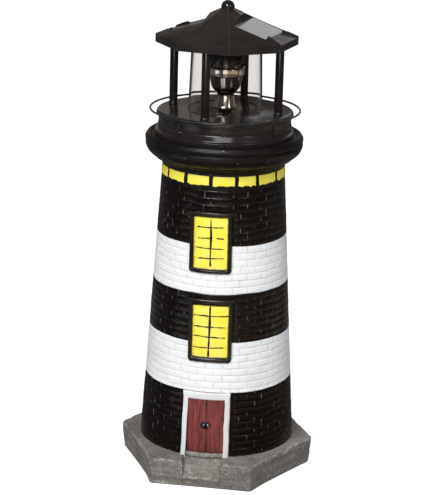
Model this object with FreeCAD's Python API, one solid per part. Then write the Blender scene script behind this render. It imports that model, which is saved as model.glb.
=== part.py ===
"""Solar garden lighthouse: a hollow cast resin tower with a lift-off lantern.

Millimetres, +Z up, the door faces -Y.  The origin is under the plinth, on the
ground, at the middle of its outline.  The lantern is drawn square to the axes
and then turned as a whole, because it is set on the tower a little askew.
"""
import FreeCAD, Part
import math
import os

Vector = FreeCAD.Vector
UP = Vector(0, 0, 1)

# ---- tower casting ---------------------------------------------------------
PLINTH_HALF_WIDTH = 75.0        # corner to axis, left and right
PLINTH_HALF_DEPTH = 71.0        # flat front and back edges to axis
PLINTH_EDGE_HALF = 37.5         # half the length of the front edge
PLINTH_HEIGHT = 21.0
PLINTH_DRAFT = 2.0              # how far the foot of the slab is drawn in
TOWER_FOOT_RADIUS = 58.7
NECK_RADIUS = 45.7
NECK_HEIGHT = 233.0
COLLAR_RADIUS = 58.8
SEAT_HEIGHT = 255.0             # the lantern's flange rests here
SOCKET_RADIUS = 40.5
SOCKET_FLOOR = 229.0
CASTING_WALL = 7.2

# ---- lantern ---------------------------------------------------------------
LANTERN_TURN = -11.5            # degrees about +Z
DECK_HEIGHT = 274.0
DECK_THICK = 2.0
DRUM_RADIUS = 51.0
DRUM_WALL = 2.0
FLANGE_RADIUS = 52.6
RIM_RADIUS = 52.0
SPIGOT_RADIUS = 39.5
SPIGOT_BOTTOM = 236.0
FLOOR_THICK = 3.4
HOOP_RADIUS = 55.5
HOOP_WIRE = 0.75                # radius of the ring's wire
HOOP_LEG_WIRE = 0.6             # radius of the legs' wire
HOOP_HEIGHT = 274.3
HOOP_LEG_DROP = 3.4
HOOP_LEG_ANGLE = -22.0          # the first leg, then every 90 degrees
POST_CIRCLE = 41.5
POST_RADIUS = 3.1
POST_PIN = 2.0
POST_BORE = 1.3
CHIMNEY_FOOT = 27.2
CHIMNEY_TOP = 25.4
CHIMNEY_WALL = 1.4

# ---- roof ------------------------------------------------------------------
EAVE_BOTTOM = 323.3
EAVE_TOP = 329.3
APEX_HEIGHT = 351.0
ROOF_CORNER_RADIUS = 52.5
ROOF_SIDES = 8
ROOF_WALL = 2.0
PLATE_BOTTOM = 324.1
PLATE_THICK = 2.0
PANEL_HALF_WIDTH = 21.1
BAY_INNER = 12.0                # upper end of a panel bay, from the axis
BAY_OUTER = 37.5                # lower end of a panel bay
BAY_SLOPE = 0.325
BAY_LIP = 0.8
PANEL_THICK = 2.0
HORN_THICK = 1.3                # hip ridge left standing beside a bay
FINIAL_RADIUS = 4.65

# ---- drive -----------------------------------------------------------------
MODULE = 0.6
WHEEL_TEETH = 50
PINION_TEETH = 10
WHEEL_ADDENDUM = 0.6            # in modules: short, so the pinions need no undercut
PINION_ADDENDUM = 1.0
BACKLASH = 0.06
GEAR_CENTRES = MODULE * (WHEEL_TEETH + PINION_TEETH) / 2
IDLER_AT = Vector(GEAR_CENTRES, 0, 0)
MOTOR_BEARING = 120.0           # direction from the idler to the motor, degrees
MOTOR_AT = IDLER_AT + Vector(GEAR_CENTRES * math.cos(math.radians(MOTOR_BEARING)),
                             GEAR_CENTRES * math.sin(math.radians(MOTOR_BEARING)), 0)
MOTOR_RADIUS = 12.2
MOTOR_LENGTH = 12.3
MOTOR_SHAFT = 1.0
AXLE_RADIUS = 1.0
SHAFT_RADIUS = 1.5
RUNNING = 0.04                  # radial clearance of a shaft in its bush
GEAR_PLATE_BOTTOM = 260.0
GEAR_PLATE_THICK = 2.0
STANDOFFS = (Vector(-21, 0, 0), Vector(14, -22, 0), Vector(27, 22, 0))

# ---- battery, switch, board ------------------------------------------------
CELL_RADIUS = 7.15
CELL_LENGTH = 49.5
CELL_Y = -14.0
CELL_Z = 246.9
BAY_HALF_LENGTH = 28.5
BAY_HALF_WIDTH = 8.0
DOOR_HALF_LENGTH = 30.0
DOOR_HALF_WIDTH = 9.3
DOOR_THICK = 1.6
HINGE_Y = -3.0
HINGE_Z = 236.4
HINGE_PIN = 0.75
SWITCH_AT = Vector(-16, 12, 0)
SWITCH_TRAVEL = 3.0


# ---- small tools -----------------------------------------------------------
def polar(radius, degrees, height=0.0):
    """Point at a bearing from the front (-Y), turning towards +X."""
    turn = math.radians(degrees)
    return Vector(radius * math.sin(turn), -radius * math.cos(turn), height)


def rod(radius, low, high, at=Vector(0, 0, 0)):
    """Upright cylinder from one height to another."""
    return Part.makeCylinder(radius, high - low, Vector(at.x, at.y, low))


def tube(outer, inner, low, high, at=Vector(0, 0, 0)):
    return rod(outer, low, high, at).cut(rod(inner, low - 1, high + 1, at))


def block(x, y, z):
    """Box from three (low, high) pairs."""
    return Part.makeBox(x[1] - x[0], y[1] - y[0], z[1] - z[0], Vector(x[0], y[0], z[0]))


def turned(start, *steps):
    """Solid of revolution about Z.

    The outline goes from start through the steps and closes itself.  A step is
    a point (radius, height), or a pair of points: on the way, and end, of an arc.
    """
    def point(pair):
        return Vector(pair[0], 0, pair[1])

    edges = []
    here = point(start)
    for step in steps:
        if isinstance(step[0], tuple):
            edges.append(Part.Arc(here, point(step[0]), point(step[1])).toShape())
            here = point(step[1])
        else:
            edges.append(Part.makeLine(here, point(step)))
            here = point(step)
    edges.append(Part.makeLine(here, point(start)))
    return Part.Face(Part.Wire(edges)).revolve(Vector(0, 0, 0), UP, 360)


def prism(points, low, high):
    """Upright prism over a plan outline of (x, y) points."""
    ring = [Vector(x, y, low) for x, y in points]
    return Part.Face(Part.makePolygon(ring + ring[:1])).extrude(Vector(0, 0, high - low))


def octagon(inradius):
    """Plan outline whose flats face the front, sides and back."""
    corner = inradius / math.cos(math.pi / ROOF_SIDES)
    bearings = [(k + 0.5) * 360 / ROOF_SIDES for k in range(ROOF_SIDES)]
    return [(polar(corner, b).x, polar(corner, b).y) for b in bearings]


def pyramid(inradius, low, apex):
    """Eight-sided pyramid standing on an octagon."""
    ring = [Vector(x, y, low) for x, y in octagon(inradius)]
    tip = Vector(0, 0, apex)
    faces = [Part.Face(Part.makePolygon(ring + ring[:1]))]
    for first, second in zip(ring, ring[1:] + ring[:1]):
        faces.append(Part.Face(Part.makePolygon([first, second, tip, first])))
    return Part.makeSolid(Part.makeShell(faces))


def fused(first, *others):
    return first.multiFuse(list(others)).removeSplitter() if others else first


def less(shape, *tools):
    return shape.cut(list(tools)) if tools else shape


def about_z(shape, degrees):
    """Copy turned from the front (-Y) towards +X."""
    copy = shape.copy()
    copy.rotate(Vector(0, 0, 0), UP, degrees)
    return copy


# ---- tower -----------------------------------------------------------------
def tower_radius(height):
    """Outer radius of the tapering shaft at a height."""
    share = (height - PLINTH_HEIGHT) / (NECK_HEIGHT - PLINTH_HEIGHT)
    return TOWER_FOOT_RADIUS + share * (NECK_RADIUS - TOWER_FOOT_RADIUS)


def taper(grow, low, high):
    """The shaft's cone between two heights, grown outwards."""
    return turned((0, low), (tower_radius(low) + grow, low), (tower_radius(high) + grow, high), (0, high))


def plinth_outline(inset, height):
    """Six-sided plan of the plinth, drawn in by an inset, as a closed wire."""
    w, d, e = PLINTH_HALF_WIDTH - inset, PLINTH_HALF_DEPTH - inset, PLINTH_EDGE_HALF - inset / 2
    ring = [Vector(x, y, height) for x, y in [(-w, 0), (-e, -d), (e, -d), (w, 0), (e, d), (-e, d)]]
    return Part.makePolygon(ring + ring[:1])


def plinth():
    """Six-sided slab, drawn in towards the ground, with a ramp cut before the door."""
    slab = Part.makeLoft([plinth_outline(PLINTH_DRAFT, 0), plinth_outline(0, PLINTH_HEIGHT)], True, True)
    slab = slab.makeChamfer(1.2, [s for s in slab.Edges if s.BoundBox.ZMin > PLINTH_HEIGHT - 0.01])
    d = PLINTH_HALF_DEPTH
    ramp_top, ramp_foot, half = -57.0, -(d - 3.5), 14.5
    side = [Vector(-half, ramp_top, PLINTH_HEIGHT + 1), Vector(-half, ramp_top, PLINTH_HEIGHT - 0.5),
            Vector(-half, ramp_foot, 8.5), Vector(-half, -d - 2, 7.5),
            Vector(-half, -d - 2, PLINTH_HEIGHT + 1)]
    ramp = Part.Face(Part.makePolygon(side + side[:1])).extrude(Vector(2 * half, 0, 0))
    return slab.cut(ramp)


def shaft_and_collar():
    """Tapering shaft, cavetto neck, stepped ovolo collar and the lip round the seat."""
    return turned(
        (0, PLINTH_HEIGHT - 3), (tower_radius(PLINTH_HEIGHT - 3), PLINTH_HEIGHT - 3),
        (NECK_RADIUS, NECK_HEIGHT),
        ((46.8, 236.6), (50.2, 238.6)), (51.4, 238.8), (51.6, 239.8),
        ((56.6, 243.6), (COLLAR_RADIUS, 249.6)), (COLLAR_RADIUS - 0.9, 250.3),
        (COLLAR_RADIUS - 0.9, 250.9),
        ((COLLAR_RADIUS + 0.2, 253.6), (57.4, 256.4)), ((56.0, 257.2), (54.6, 256.4)),
        (54.0, SEAT_HEIGHT), (0, SEAT_HEIGHT))


def framed(low, high, half_foot, half_head, border, raised):
    """Raised frame with a sunk field, following the curve of the shaft."""
    def plan(shrink, grow_low, grow_high):
        corners = [(-half_foot + shrink, low + grow_low), (half_foot - shrink, low + grow_low),
                   (half_head - shrink, high - grow_high), (-half_head + shrink, high - grow_high)]
        face = Part.Face(Part.makePolygon([Vector(x, -80, z) for x, z in corners + corners[:1]]))
        return face.extrude(Vector(0, 40, 0))

    outer = plan(0, 0, 0).common(taper(raised, low - 1, high + 1))
    field = plan(border, border, border).cut(taper(0.2, low - 2, high + 2))
    return outer.cut(field)


def ledge(low, high, half, proud):
    """Sill or lintel: a short band standing proud of the shaft."""
    bar = block((-half, half), (-80, -30), (low, high))
    return bar.common(taper(proud, low, high))


def window(low, high, half):
    frame = framed(low, high, half + 0.6, half, 3.0, 1.5)
    lintel = ledge(high, high + 2.6, half + 2.2, 2.6)
    sill = ledge(low - 2.2, low, half + 1.6, 2.4)
    return [frame, lintel, sill]


def doorway():
    """White frame, open at the foot, round a double-leaf door with its seam."""
    low, high = PLINTH_HEIGHT - 0.5, 70.5
    frame = framed(low - 4, high, 19.4, 18.2, 4.2, 1.5)
    leaves = ledge(low, high - 4.2, 14.6, 0.7)
    seam = block((-0.25, 0.25), (-80, -tower_radius(45) - 0.25), (low - 1, high))
    knobs = [Part.makeSphere(1.5, Vector(x, -tower_radius(46) - 1.2, 46.0)) for x in (-1.7, 1.7)]
    return [frame, leaves.cut(seam)] + knobs


def tower_casting():
    body = fused(plinth(), shaft_and_collar(), *doorway(),
                 *window(160.0, 204.0, 15.6), *window(93.5, 138.4, 15.6))
    wall = CASTING_WALL
    cavity = turned((0, -1), (tower_radius(0) - wall, -1), (tower_radius(225) - wall, 225),
                    (SOCKET_RADIUS - 4, SOCKET_FLOOR), (SOCKET_RADIUS, SOCKET_FLOOR),
                    (SOCKET_RADIUS, SEAT_HEIGHT + 5), (0, SEAT_HEIGHT + 5))
    return body.cut(cavity)


# ---- gallery ---------------------------------------------------------------
BASE_SCREWS = [polar(44.6, b) for b in (45, 165, 285)]
POSTS = {"front": 0, "right": 90, "back": 180, "left": 270}


def gallery_drum():
    """Deck, rolled rim, grooved side and flange, moulded in one with its bosses."""
    deck_under = DECK_HEIGHT - DECK_THICK
    inner = DRUM_RADIUS - DRUM_WALL
    shell = turned(
        (3.0, DECK_HEIGHT), (49.4, DECK_HEIGHT), ((51.2, 273.3), (RIM_RADIUS, 271.6)),
        (RIM_RADIUS, 270.3), (DRUM_RADIUS, 269.7), (DRUM_RADIUS, 268.9),
        (DRUM_RADIUS - 0.4, 268.5), (DRUM_RADIUS - 0.4, 263.7), (DRUM_RADIUS, 263.3),
        (DRUM_RADIUS, 259.6), (FLANGE_RADIUS, 258.9),
        (FLANGE_RADIUS, SEAT_HEIGHT), (inner, SEAT_HEIGHT), (inner, deck_under), (3.0, deck_under))
    chimney_ring = tube(29.6, 28.3, DECK_HEIGHT - 0.5, DECK_HEIGHT + 1.2)
    sockets = [rod(4.4, 266.5, deck_under + 0.5, polar(POST_CIRCLE, b)) for b in POSTS.values()]
    pillars = [rod(3.2, GEAR_PLATE_BOTTOM + GEAR_PLATE_THICK, deck_under + 0.5, at) for at in STANDOFFS]
    bosses = [rod(3.0, SEAT_HEIGHT + 3, deck_under + 0.5, at) for at in BASE_SCREWS]
    drum = fused(shell, chimney_ring, *sockets, *pillars, *bosses)
    holes = [rod(POST_PIN + 0.03, 260, 280, polar(POST_CIRCLE, b)) for b in POSTS.values()]
    holes += [rod(0.9, SEAT_HEIGHT, deck_under - 2, at) for at in BASE_SCREWS]
    holes += [rod(0.8, GEAR_PLATE_BOTTOM, deck_under - 2, at) for at in STANDOFFS]
    leg_height = HOOP_HEIGHT - HOOP_LEG_DROP
    for k in range(4):
        out = polar(1, HOOP_LEG_ANGLE + 90 * k)
        holes.append(Part.makeCylinder(HOOP_LEG_WIRE + 0.05, 6, out * 48 + UP * leg_height, out))
    return less(drum, front_recess(), *holes)


def front_recess():
    """Shallow bare panel in the drum's side, between the two front hoop legs."""
    ring = tube(60, DRUM_RADIUS - 0.9, 260.4, 269.2)
    wedge = [(0, 0)]
    for k in range(7):
        spot = polar(90, HOOP_LEG_ANGLE + 1.5 + k * 87 / 6)
        wedge.append((spot.x, spot.y))
    return ring.common(prism(wedge, 255, 275))


def hoop_leg(out):
    """One leg: down from the ring, round a bend and in to the drum, as one drawn wire."""
    low = HOOP_HEIGHT - HOOP_LEG_DROP
    bend = 1.6
    top = out * HOOP_RADIUS + UP * HOOP_HEIGHT
    start = out * HOOP_RADIUS + UP * (low + bend)
    middle = out * (HOOP_RADIUS - bend * (1 - math.sqrt(0.5))) + UP * (low + bend * (1 - math.sqrt(0.5)))
    end = out * (HOOP_RADIUS - bend) + UP * low
    path = Part.Wire([Part.makeLine(top, start), Part.Arc(start, middle, end).toShape(),
                      Part.makeLine(end, out * 49.8 + UP * low)])
    section = Part.Wire(Part.makeCircle(HOOP_LEG_WIRE, top, UP))
    return path.makePipeShell([section], True, True)


def gallery_hoop():
    """Wire hoop round the deck on four bent legs that plug into the drum."""
    ring = Part.makeTorus(HOOP_RADIUS, HOOP_WIRE, Vector(0, 0, HOOP_HEIGHT), UP)
    legs = [hoop_leg(polar(1, HOOP_LEG_ANGLE + 90 * k)) for k in range(4)]
    return fused(ring, *legs)


def lantern_base():
    """Closing plate and spigot cup, with battery bay, hinge slots and switch slot."""
    floor = SPIGOT_BOTTOM + FLOOR_THICK
    cup = turned(
        (0, SPIGOT_BOTTOM), (SPIGOT_RADIUS - 1.5, SPIGOT_BOTTOM), (SPIGOT_RADIUS, SPIGOT_BOTTOM + 1.5),
        (SPIGOT_RADIUS, SEAT_HEIGHT), (DRUM_RADIUS - DRUM_WALL - 0.15, SEAT_HEIGHT),
        (DRUM_RADIUS - DRUM_WALL - 0.15, SEAT_HEIGHT + 3), (SPIGOT_RADIUS - 2, SEAT_HEIGHT + 3),
        (SPIGOT_RADIUS - 2, floor), (0, floor))
    x, y = BAY_HALF_LENGTH + 0.7, BAY_HALF_WIDTH + 0.2
    bay = block((-x - 1.4, x + 1.4), (CELL_Y - y - 1.4, CELL_Y + y + 1.4), (floor - 0.5, 251.5))
    bay = bay.common(rod(SPIGOT_RADIUS - 1, floor - 1, 252))
    hollow = block((-x, x), (CELL_Y - y, CELL_Y + y), (floor, 260))
    board_posts = [rod(2.0, floor - 0.5, 244.1, at) for at in (Vector(-26, 5, 0), Vector(-8, 19, 0))]
    base = fused(cup, bay.cut(hollow), *board_posts)
    hatch = block((-BAY_HALF_LENGTH, BAY_HALF_LENGTH),
                  (CELL_Y - BAY_HALF_WIDTH, CELL_Y + BAY_HALF_WIDTH), (230, floor + 1))
    rebate = block((-DOOR_HALF_LENGTH - 0.3, DOOR_HALF_LENGTH + 0.3),
                   (CELL_Y - DOOR_HALF_WIDTH - 0.3, CELL_Y + DOOR_HALF_WIDTH + 0.3),
                   (230, SPIGOT_BOTTOM + 1.9))
    slot = SWITCH_AT
    half = SWITCH_TRAVEL / 2 + 1.8
    cuts = [hatch, rebate, block((slot.x - half, slot.x + half), (slot.y - 1.5, slot.y + 1.5), (230, 242))]
    for x_mid in (-18, 18):
        cuts.append(block((x_mid - 3.2, x_mid + 3.2), (-5.2, HINGE_Y + 2.0), (230, SPIGOT_BOTTOM + 2.4)))
    cuts.append(Part.makeCylinder(HINGE_PIN, 48, Vector(-24, HINGE_Y, HINGE_Z), Vector(1, 0, 0)))
    for at in BASE_SCREWS:
        cuts += [rod(1.3, 250, 262, at), rod(2.7, 250, SEAT_HEIGHT + 1.8, at)]
    return less(base, *cuts)


def hinge_pin():
    return Part.makeCylinder(HINGE_PIN, 46, Vector(-23, HINGE_Y, HINGE_Z), Vector(1, 0, 0))


def battery_door():
    """Flat hatch with two knuckles on the pin and a finger scallop."""
    low = SPIGOT_BOTTOM + 0.1
    plate = block((-DOOR_HALF_LENGTH, DOOR_HALF_LENGTH),
                  (CELL_Y - DOOR_HALF_WIDTH, CELL_Y + DOOR_HALF_WIDTH), (low, low + DOOR_THICK))
    arms = []
    for x_mid in (-18, 18):
        arms.append(Part.makeCylinder(1.35, 5.6, Vector(x_mid - 2.8, HINGE_Y, HINGE_Z), Vector(1, 0, 0)))
        arms.append(block((x_mid - 2.8, x_mid + 2.8), (CELL_Y + DOOR_HALF_WIDTH - 0.5, HINGE_Y),
                          (low, low + 1.2)))
    door = fused(plate, *arms)
    bore = Part.makeCylinder(HINGE_PIN + RUNNING, 60, Vector(-30, HINGE_Y, HINGE_Z), Vector(1, 0, 0))
    scallop = Part.makeCylinder(6, 1.2, Vector(0, CELL_Y - DOOR_HALF_WIDTH - 3.5, low - 0.4), UP)
    return less(door, bore, scallop)


# ---- power -----------------------------------------------------------------
def battery_cell():
    """AA size rechargeable cell with its raised end."""
    start = Vector(-CELL_LENGTH / 2, CELL_Y, CELL_Z)
    can = Part.makeCylinder(CELL_RADIUS, CELL_LENGTH - 1.5, start, Vector(1, 0, 0))
    nub = Part.makeCylinder(2.6, 1.5, start + Vector(CELL_LENGTH - 1.5, 0, 0), Vector(1, 0, 0))
    return fused(can, nub)


def contact_leaf(side):
    """Folded spring leaf: a back plate, a bend and a bowed tongue that meets the cell."""
    wall = BAY_HALF_LENGTH + 0.65
    reach = wall - CELL_LENGTH / 2
    path = [Vector(wall - d, CELL_Y - 3, CELL_Z + h) for d, h in
            [(0, -6.2), (0, 6.4), (0.4, 6.4), (reach, 1.0), (reach, -1.0), (reach - 0.4, -1.0),
             (reach - 0.4, 0.8), (0.4, 5.6), (0.4, -6.2)]]
    leaf = Part.Face(Part.makePolygon(path + path[:1])).extrude(Vector(0, 6, 0))
    if side < 0:
        leaf = leaf.mirror(Vector(0, 0, 0), Vector(1, 0, 0))
    return leaf


def circuit_board():
    """Charge and driver board with its larger components."""
    board = block((-29, -5), (2, 22), (244.1, 245.7))
    parts = [rod(2.5, 245.7, 252.0, Vector(-23, 16, 0)),
             block((-17, -12), (10, 14), (245.7, 247.2)),
             block((-24, -20), (5, 8), (245.7, 248.0)),
             rod(1.6, 245.7, 249.5, Vector(-9, 6, 0))]
    return fused(board, *parts)


def switch_body():
    at = SWITCH_AT
    floor = SPIGOT_BOTTOM + FLOOR_THICK
    case = block((at.x - 5, at.x + 5), (at.y - 2.6, at.y + 2.6), (floor, 244.1))
    channel = block((at.x - 3.4, at.x + 3.4), (at.y - 1.5, at.y + 1.5), (floor - 1, 242.4))
    return case.cut(channel)


def switch_knob():
    """Ribbed slider, drawn at the off end of its travel."""
    x = SWITCH_AT.x - SWITCH_TRAVEL / 2
    knob = block((x - 1.4, x + 1.4), (SWITCH_AT.y - 1.2, SWITCH_AT.y + 1.2), (234.6, 242.0))
    grooves = [block((x + d - 0.2, x + d + 0.2), (SWITCH_AT.y - 2, SWITCH_AT.y + 2), (234.0, 234.9))
               for d in (-0.7, 0.0, 0.7)]
    return less(knob, *grooves)


# ---- drive -----------------------------------------------------------------
def gear_outline(teeth, addendum, phase):
    """Plan points of an involute spur gear, one tooth centred on the phase angle."""
    pitch = MODULE * teeth / 2
    base = pitch * math.cos(math.radians(20))
    root, tip = pitch - 1.25 * MODULE, pitch + addendum * MODULE

    def unrolled(radius):
        """Angle that the involute has turned at a radius."""
        stretch = math.sqrt(max((radius / base) ** 2 - 1, 0))
        return stretch - math.atan(stretch)

    half_at_pitch = math.pi / (2 * teeth) - BACKLASH / (2 * pitch)
    radii = [root, max(base, root + 0.05), pitch, tip]
    halves = [half_at_pitch + unrolled(pitch) - unrolled(r) for r in radii]
    points = []
    for k in range(teeth):
        middle = math.radians(phase) + 2 * math.pi * k / teeth
        rising = [(r, middle - h) for r, h in zip(radii, halves)]
        falling = [(r, middle + h) for r, h in reversed(list(zip(radii, halves)))]
        points += [(r * math.cos(a), r * math.sin(a)) for r, a in rising + falling]
    return points


def gear(teeth, addendum, phase, low, high, at):
    """Toothed disc; the phase is measured from +X."""
    disc = prism(gear_outline(teeth, addendum, phase), low, high)
    disc.translate(Vector(at.x, at.y, 0))
    return disc


def drive_gear():
    """Wheel on the beacon's shaft, with a hub and six lightening holes."""
    wheel = gear(WHEEL_TEETH, WHEEL_ADDENDUM, 180 / WHEEL_TEETH, 267.2, 270.2, Vector(0, 0, 0))
    hub = rod(3.4, 266.4, 271.2)
    holes = [rod(2.2, 260, 280, polar(9, 60 * k)) for k in range(6)]
    return less(fused(less(wheel, *holes), hub), rod(SHAFT_RADIUS + 0.01, 260, 280))


def idler_gear():
    """Large wheel and small pinion in one moulding, free on its axle."""
    big = gear(WHEEL_TEETH, WHEEL_ADDENDUM, MOTOR_BEARING + 180 / WHEEL_TEETH, 262.5, 265.3, IDLER_AT)
    holes = [rod(2.0, 260, 280, IDLER_AT + polar(9, 60 * k + 30)) for k in range(6)]
    small = gear(PINION_TEETH, PINION_ADDENDUM, 180, 265.0, 270.6, IDLER_AT)
    spacer = rod(2.6, 262.05, 262.8, IDLER_AT)
    return less(fused(less(big, *holes), small, spacer), rod(AXLE_RADIUS + RUNNING, 260, 280, IDLER_AT))


def motor_pinion():
    pinion = gear(PINION_TEETH, PINION_ADDENDUM, MOTOR_BEARING + 180, 262.4, 266.0, MOTOR_AT)
    return pinion.cut(rod(MOTOR_SHAFT + 0.01, 260, 280, MOTOR_AT))


def motor_shaft():
    return rod(MOTOR_SHAFT, 255.4, 266.4, MOTOR_AT)


def drive_motor():
    """Flat round motor: can, rolled shoulder, front boss and rear bearing."""
    top = GEAR_PLATE_BOTTOM
    low = top - MOTOR_LENGTH
    r = MOTOR_RADIUS
    can = turned((0, low - 1.2), (3.2, low - 1.2), (3.2, low), (r - 0.8, low), (r, low + 0.8),
                 (r, top - 1.2), ((r - 0.35, top - 0.35), (r - 1.2, top)), (3.1, top), (3.1, top + 1.6),
                 (0, top + 1.6))
    can.translate(Vector(MOTOR_AT.x, MOTOR_AT.y, 0))
    terminals = [block((MOTOR_AT.x + d - 1, MOTOR_AT.x + d + 1),
                       (MOTOR_AT.y + 7.0, MOTOR_AT.y + 7.5), (low - 3, low + 0.5)) for d in (-4, 4)]
    return fused(can, *terminals).cut(rod(MOTOR_SHAFT + RUNNING, 255.2, 270, MOTOR_AT))


MOTOR_SCREWS = [MOTOR_AT + polar(7.5, b) for b in (60, 240)]


def gear_plate():
    """Plate that carries motor, idler axle and the shaft's lower bush."""
    outline = [(-26, -5), (-26, 6), (-4, 25.5), (32, 27), (32, 14), (22, -8), (19, -27), (9, -27)]
    low, high = GEAR_PLATE_BOTTOM, GEAR_PLATE_BOTTOM + GEAR_PLATE_THICK
    plate = prism(outline, low, high)
    uprights = [e for e in plate.Edges if e.BoundBox.ZLength > 1.9]
    plate = plate.makeFillet(2.5, uprights)
    holes = [rod(2.6, 250, 270), rod(3.25, 250, 270, MOTOR_AT), rod(AXLE_RADIUS, 250, 270, IDLER_AT)]
    holes += [rod(1.1, 250, 270, at) for at in list(STANDOFFS) + MOTOR_SCREWS]
    return less(plate, *holes)


def idler_axle():
    return rod(AXLE_RADIUS, GEAR_PLATE_BOTTOM, DECK_HEIGHT - DECK_THICK, IDLER_AT)


def pan_screw(at, head_low, up, shank, head_radius, head_high=1.2):
    """Small self-tapping screw: a domed head and a plain shank."""
    head = rod(head_radius, head_low, head_low + head_high, at)
    rim = [e for e in head.Edges if abs(e.BoundBox.ZMax - head_low) < 0.01 and e.BoundBox.ZLength < 0.01]
    head = head.makeFillet(head_high * 0.5, rim)
    return fused(head, rod(shank, head_low + head_high * 0.5, up, at))


def shaft_lower_bush():
    low = GEAR_PLATE_BOTTOM
    bush = turned((SHAFT_RADIUS + RUNNING, low - 0.8), (4.0, low - 0.8), (4.0, low), (2.6, low),
                  (2.6, low + GEAR_PLATE_THICK), (SHAFT_RADIUS + RUNNING, low + GEAR_PLATE_THICK))
    return bush


def shaft_deck_bush():
    low = DECK_HEIGHT - DECK_THICK
    return turned((SHAFT_RADIUS + RUNNING, low), (3.0, low), (3.0, DECK_HEIGHT), (4.8, DECK_HEIGHT),
                  (4.8, DECK_HEIGHT + 0.8), (SHAFT_RADIUS + RUNNING, DECK_HEIGHT + 0.8))


def beacon_shaft():
    return rod(SHAFT_RADIUS, 258.6, 288.5)


# ---- beacon ----------------------------------------------------------------
def beacon_pedestal():
    """Glossy turned foot that carries the reflector on the shaft."""
    foot = turned((0, 275.2), (8.2, 275.2), (8.6, 275.6), (8.6, 276.6), (7.6, 277.4), (7.2, 284.4),
                  ((7.4, 286.0), (8.8, 286.9)), (0, 286.9))
    return foot.cut(rod(SHAFT_RADIUS + 0.01, 270, 290))


def reflector_bowl():
    """Bright goblet with a broad rim band, open above, and a beam window at the back."""
    bowl = turned(
        (0, 286.9), (5.6, 286.9), ((9.2, 288.8), (11.0, 292.4)), (12.6, 299.4), (13.6, 300.0),
        (13.9, 305.4), (13.4, 306.0), (12.5, 306.0), (12.2, 300.6), (11.6, 299.6),
        ((9.6, 292.2), (4.6, 288.6)), (0, 288.6))
    window = block((-6.5, 6.5), (2, 30), (292.5, 299.2))
    return less(bowl, window, rod(SHAFT_RADIUS + 0.01, 280, 288.5))


def beam_mirror():
    """Flat slip of mirror at 45 degrees in the bowl, on a short stalk."""
    middle = Vector(0, 0, 295.6)
    tilt = FreeCAD.Rotation(Vector(1, 0, 0), 45)
    disc = Part.makeCylinder(6.0, 1.0, Vector(0, 0, -0.5))
    disc.Placement = FreeCAD.Placement(middle, tilt)
    stalk = rod(1.6, 288.6, 295.4)
    return fused(disc, stalk)


def lens_chimney():
    """Clear tapered sleeve with a thick foot, open at both ends."""
    low, high = DECK_HEIGHT, PLATE_BOTTOM
    wall = CHIMNEY_WALL
    return turned((CHIMNEY_FOOT + 0.7, low), (CHIMNEY_FOOT + 0.7, low + 1.6), (CHIMNEY_FOOT, low + 2.2),
                  (CHIMNEY_TOP, high), (CHIMNEY_TOP - wall, high), (CHIMNEY_FOOT - wall, low + 2.2),
                  (CHIMNEY_FOOT - wall, low))


def post(bearing):
    """Hollow lantern post with a reduced pin at each end."""
    at = polar(POST_CIRCLE, bearing)
    body = fused(rod(POST_RADIUS, DECK_HEIGHT, PLATE_BOTTOM, at),
                 rod(POST_PIN, 267.0, PLATE_BOTTOM + 3.0, at))
    return body.cut(rod(POST_BORE, 260, 340, at))


def panel_lead():
    """Two-core lead from the panels, inside the left post."""
    return rod(0.9, 266.0, PLATE_BOTTOM + 2.8, polar(POST_CIRCLE, POSTS["left"]))


# ---- roof ------------------------------------------------------------------
ROOF_INRADIUS = ROOF_CORNER_RADIUS * math.cos(math.pi / ROOF_SIDES)
ROOF_SLOPE = (APEX_HEIGHT - EAVE_TOP) / ROOF_INRADIUS
ROOF_SCREWS = [polar(36.0, b) for b in (45, 135, 225, 315)]


def bay_height(radius):
    """Height of a bay's sloping plane at a distance from the axis."""
    return EAVE_TOP + BAY_SLOPE * (ROOF_INRADIUS - radius) - BAY_LIP


def wedge_over_plane(inner, outer, half_inner, half_outer, sink):
    """Everything above the bay's plane, lowered by sink, in a strip that faces +X."""
    def corner(radius, half):
        return Vector(radius, half, bay_height(radius) - sink)

    base = [corner(inner, -half_inner), corner(outer, -half_outer),
            corner(outer, half_outer), corner(inner, half_inner)]
    return Part.Face(Part.makePolygon(base + base[:1])).extrude(Vector(0, 0, 30))


def panel_bay(grow, deep):
    """Cutter for one bay: the panel's rectangle, and the apron down to the eave."""
    half = PANEL_HALF_WIDTH + grow
    pocket = wedge_over_plane(BAY_INNER - grow, BAY_OUTER + grow, half, half, deep + PANEL_THICK)
    hip = math.tan(math.pi / ROOF_SIDES)
    side = HORN_THICK - grow
    end = ROOF_INRADIUS + 1
    apron = wedge_over_plane(BAY_OUTER - 0.5, end, (BAY_OUTER - 0.5) * hip - side, end * hip - side, deep)
    return pocket.fuse(apron)


def both_bays(grow, deep):
    return [about_z(panel_bay(grow, deep), turn) for turn in (0, 180)]


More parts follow.
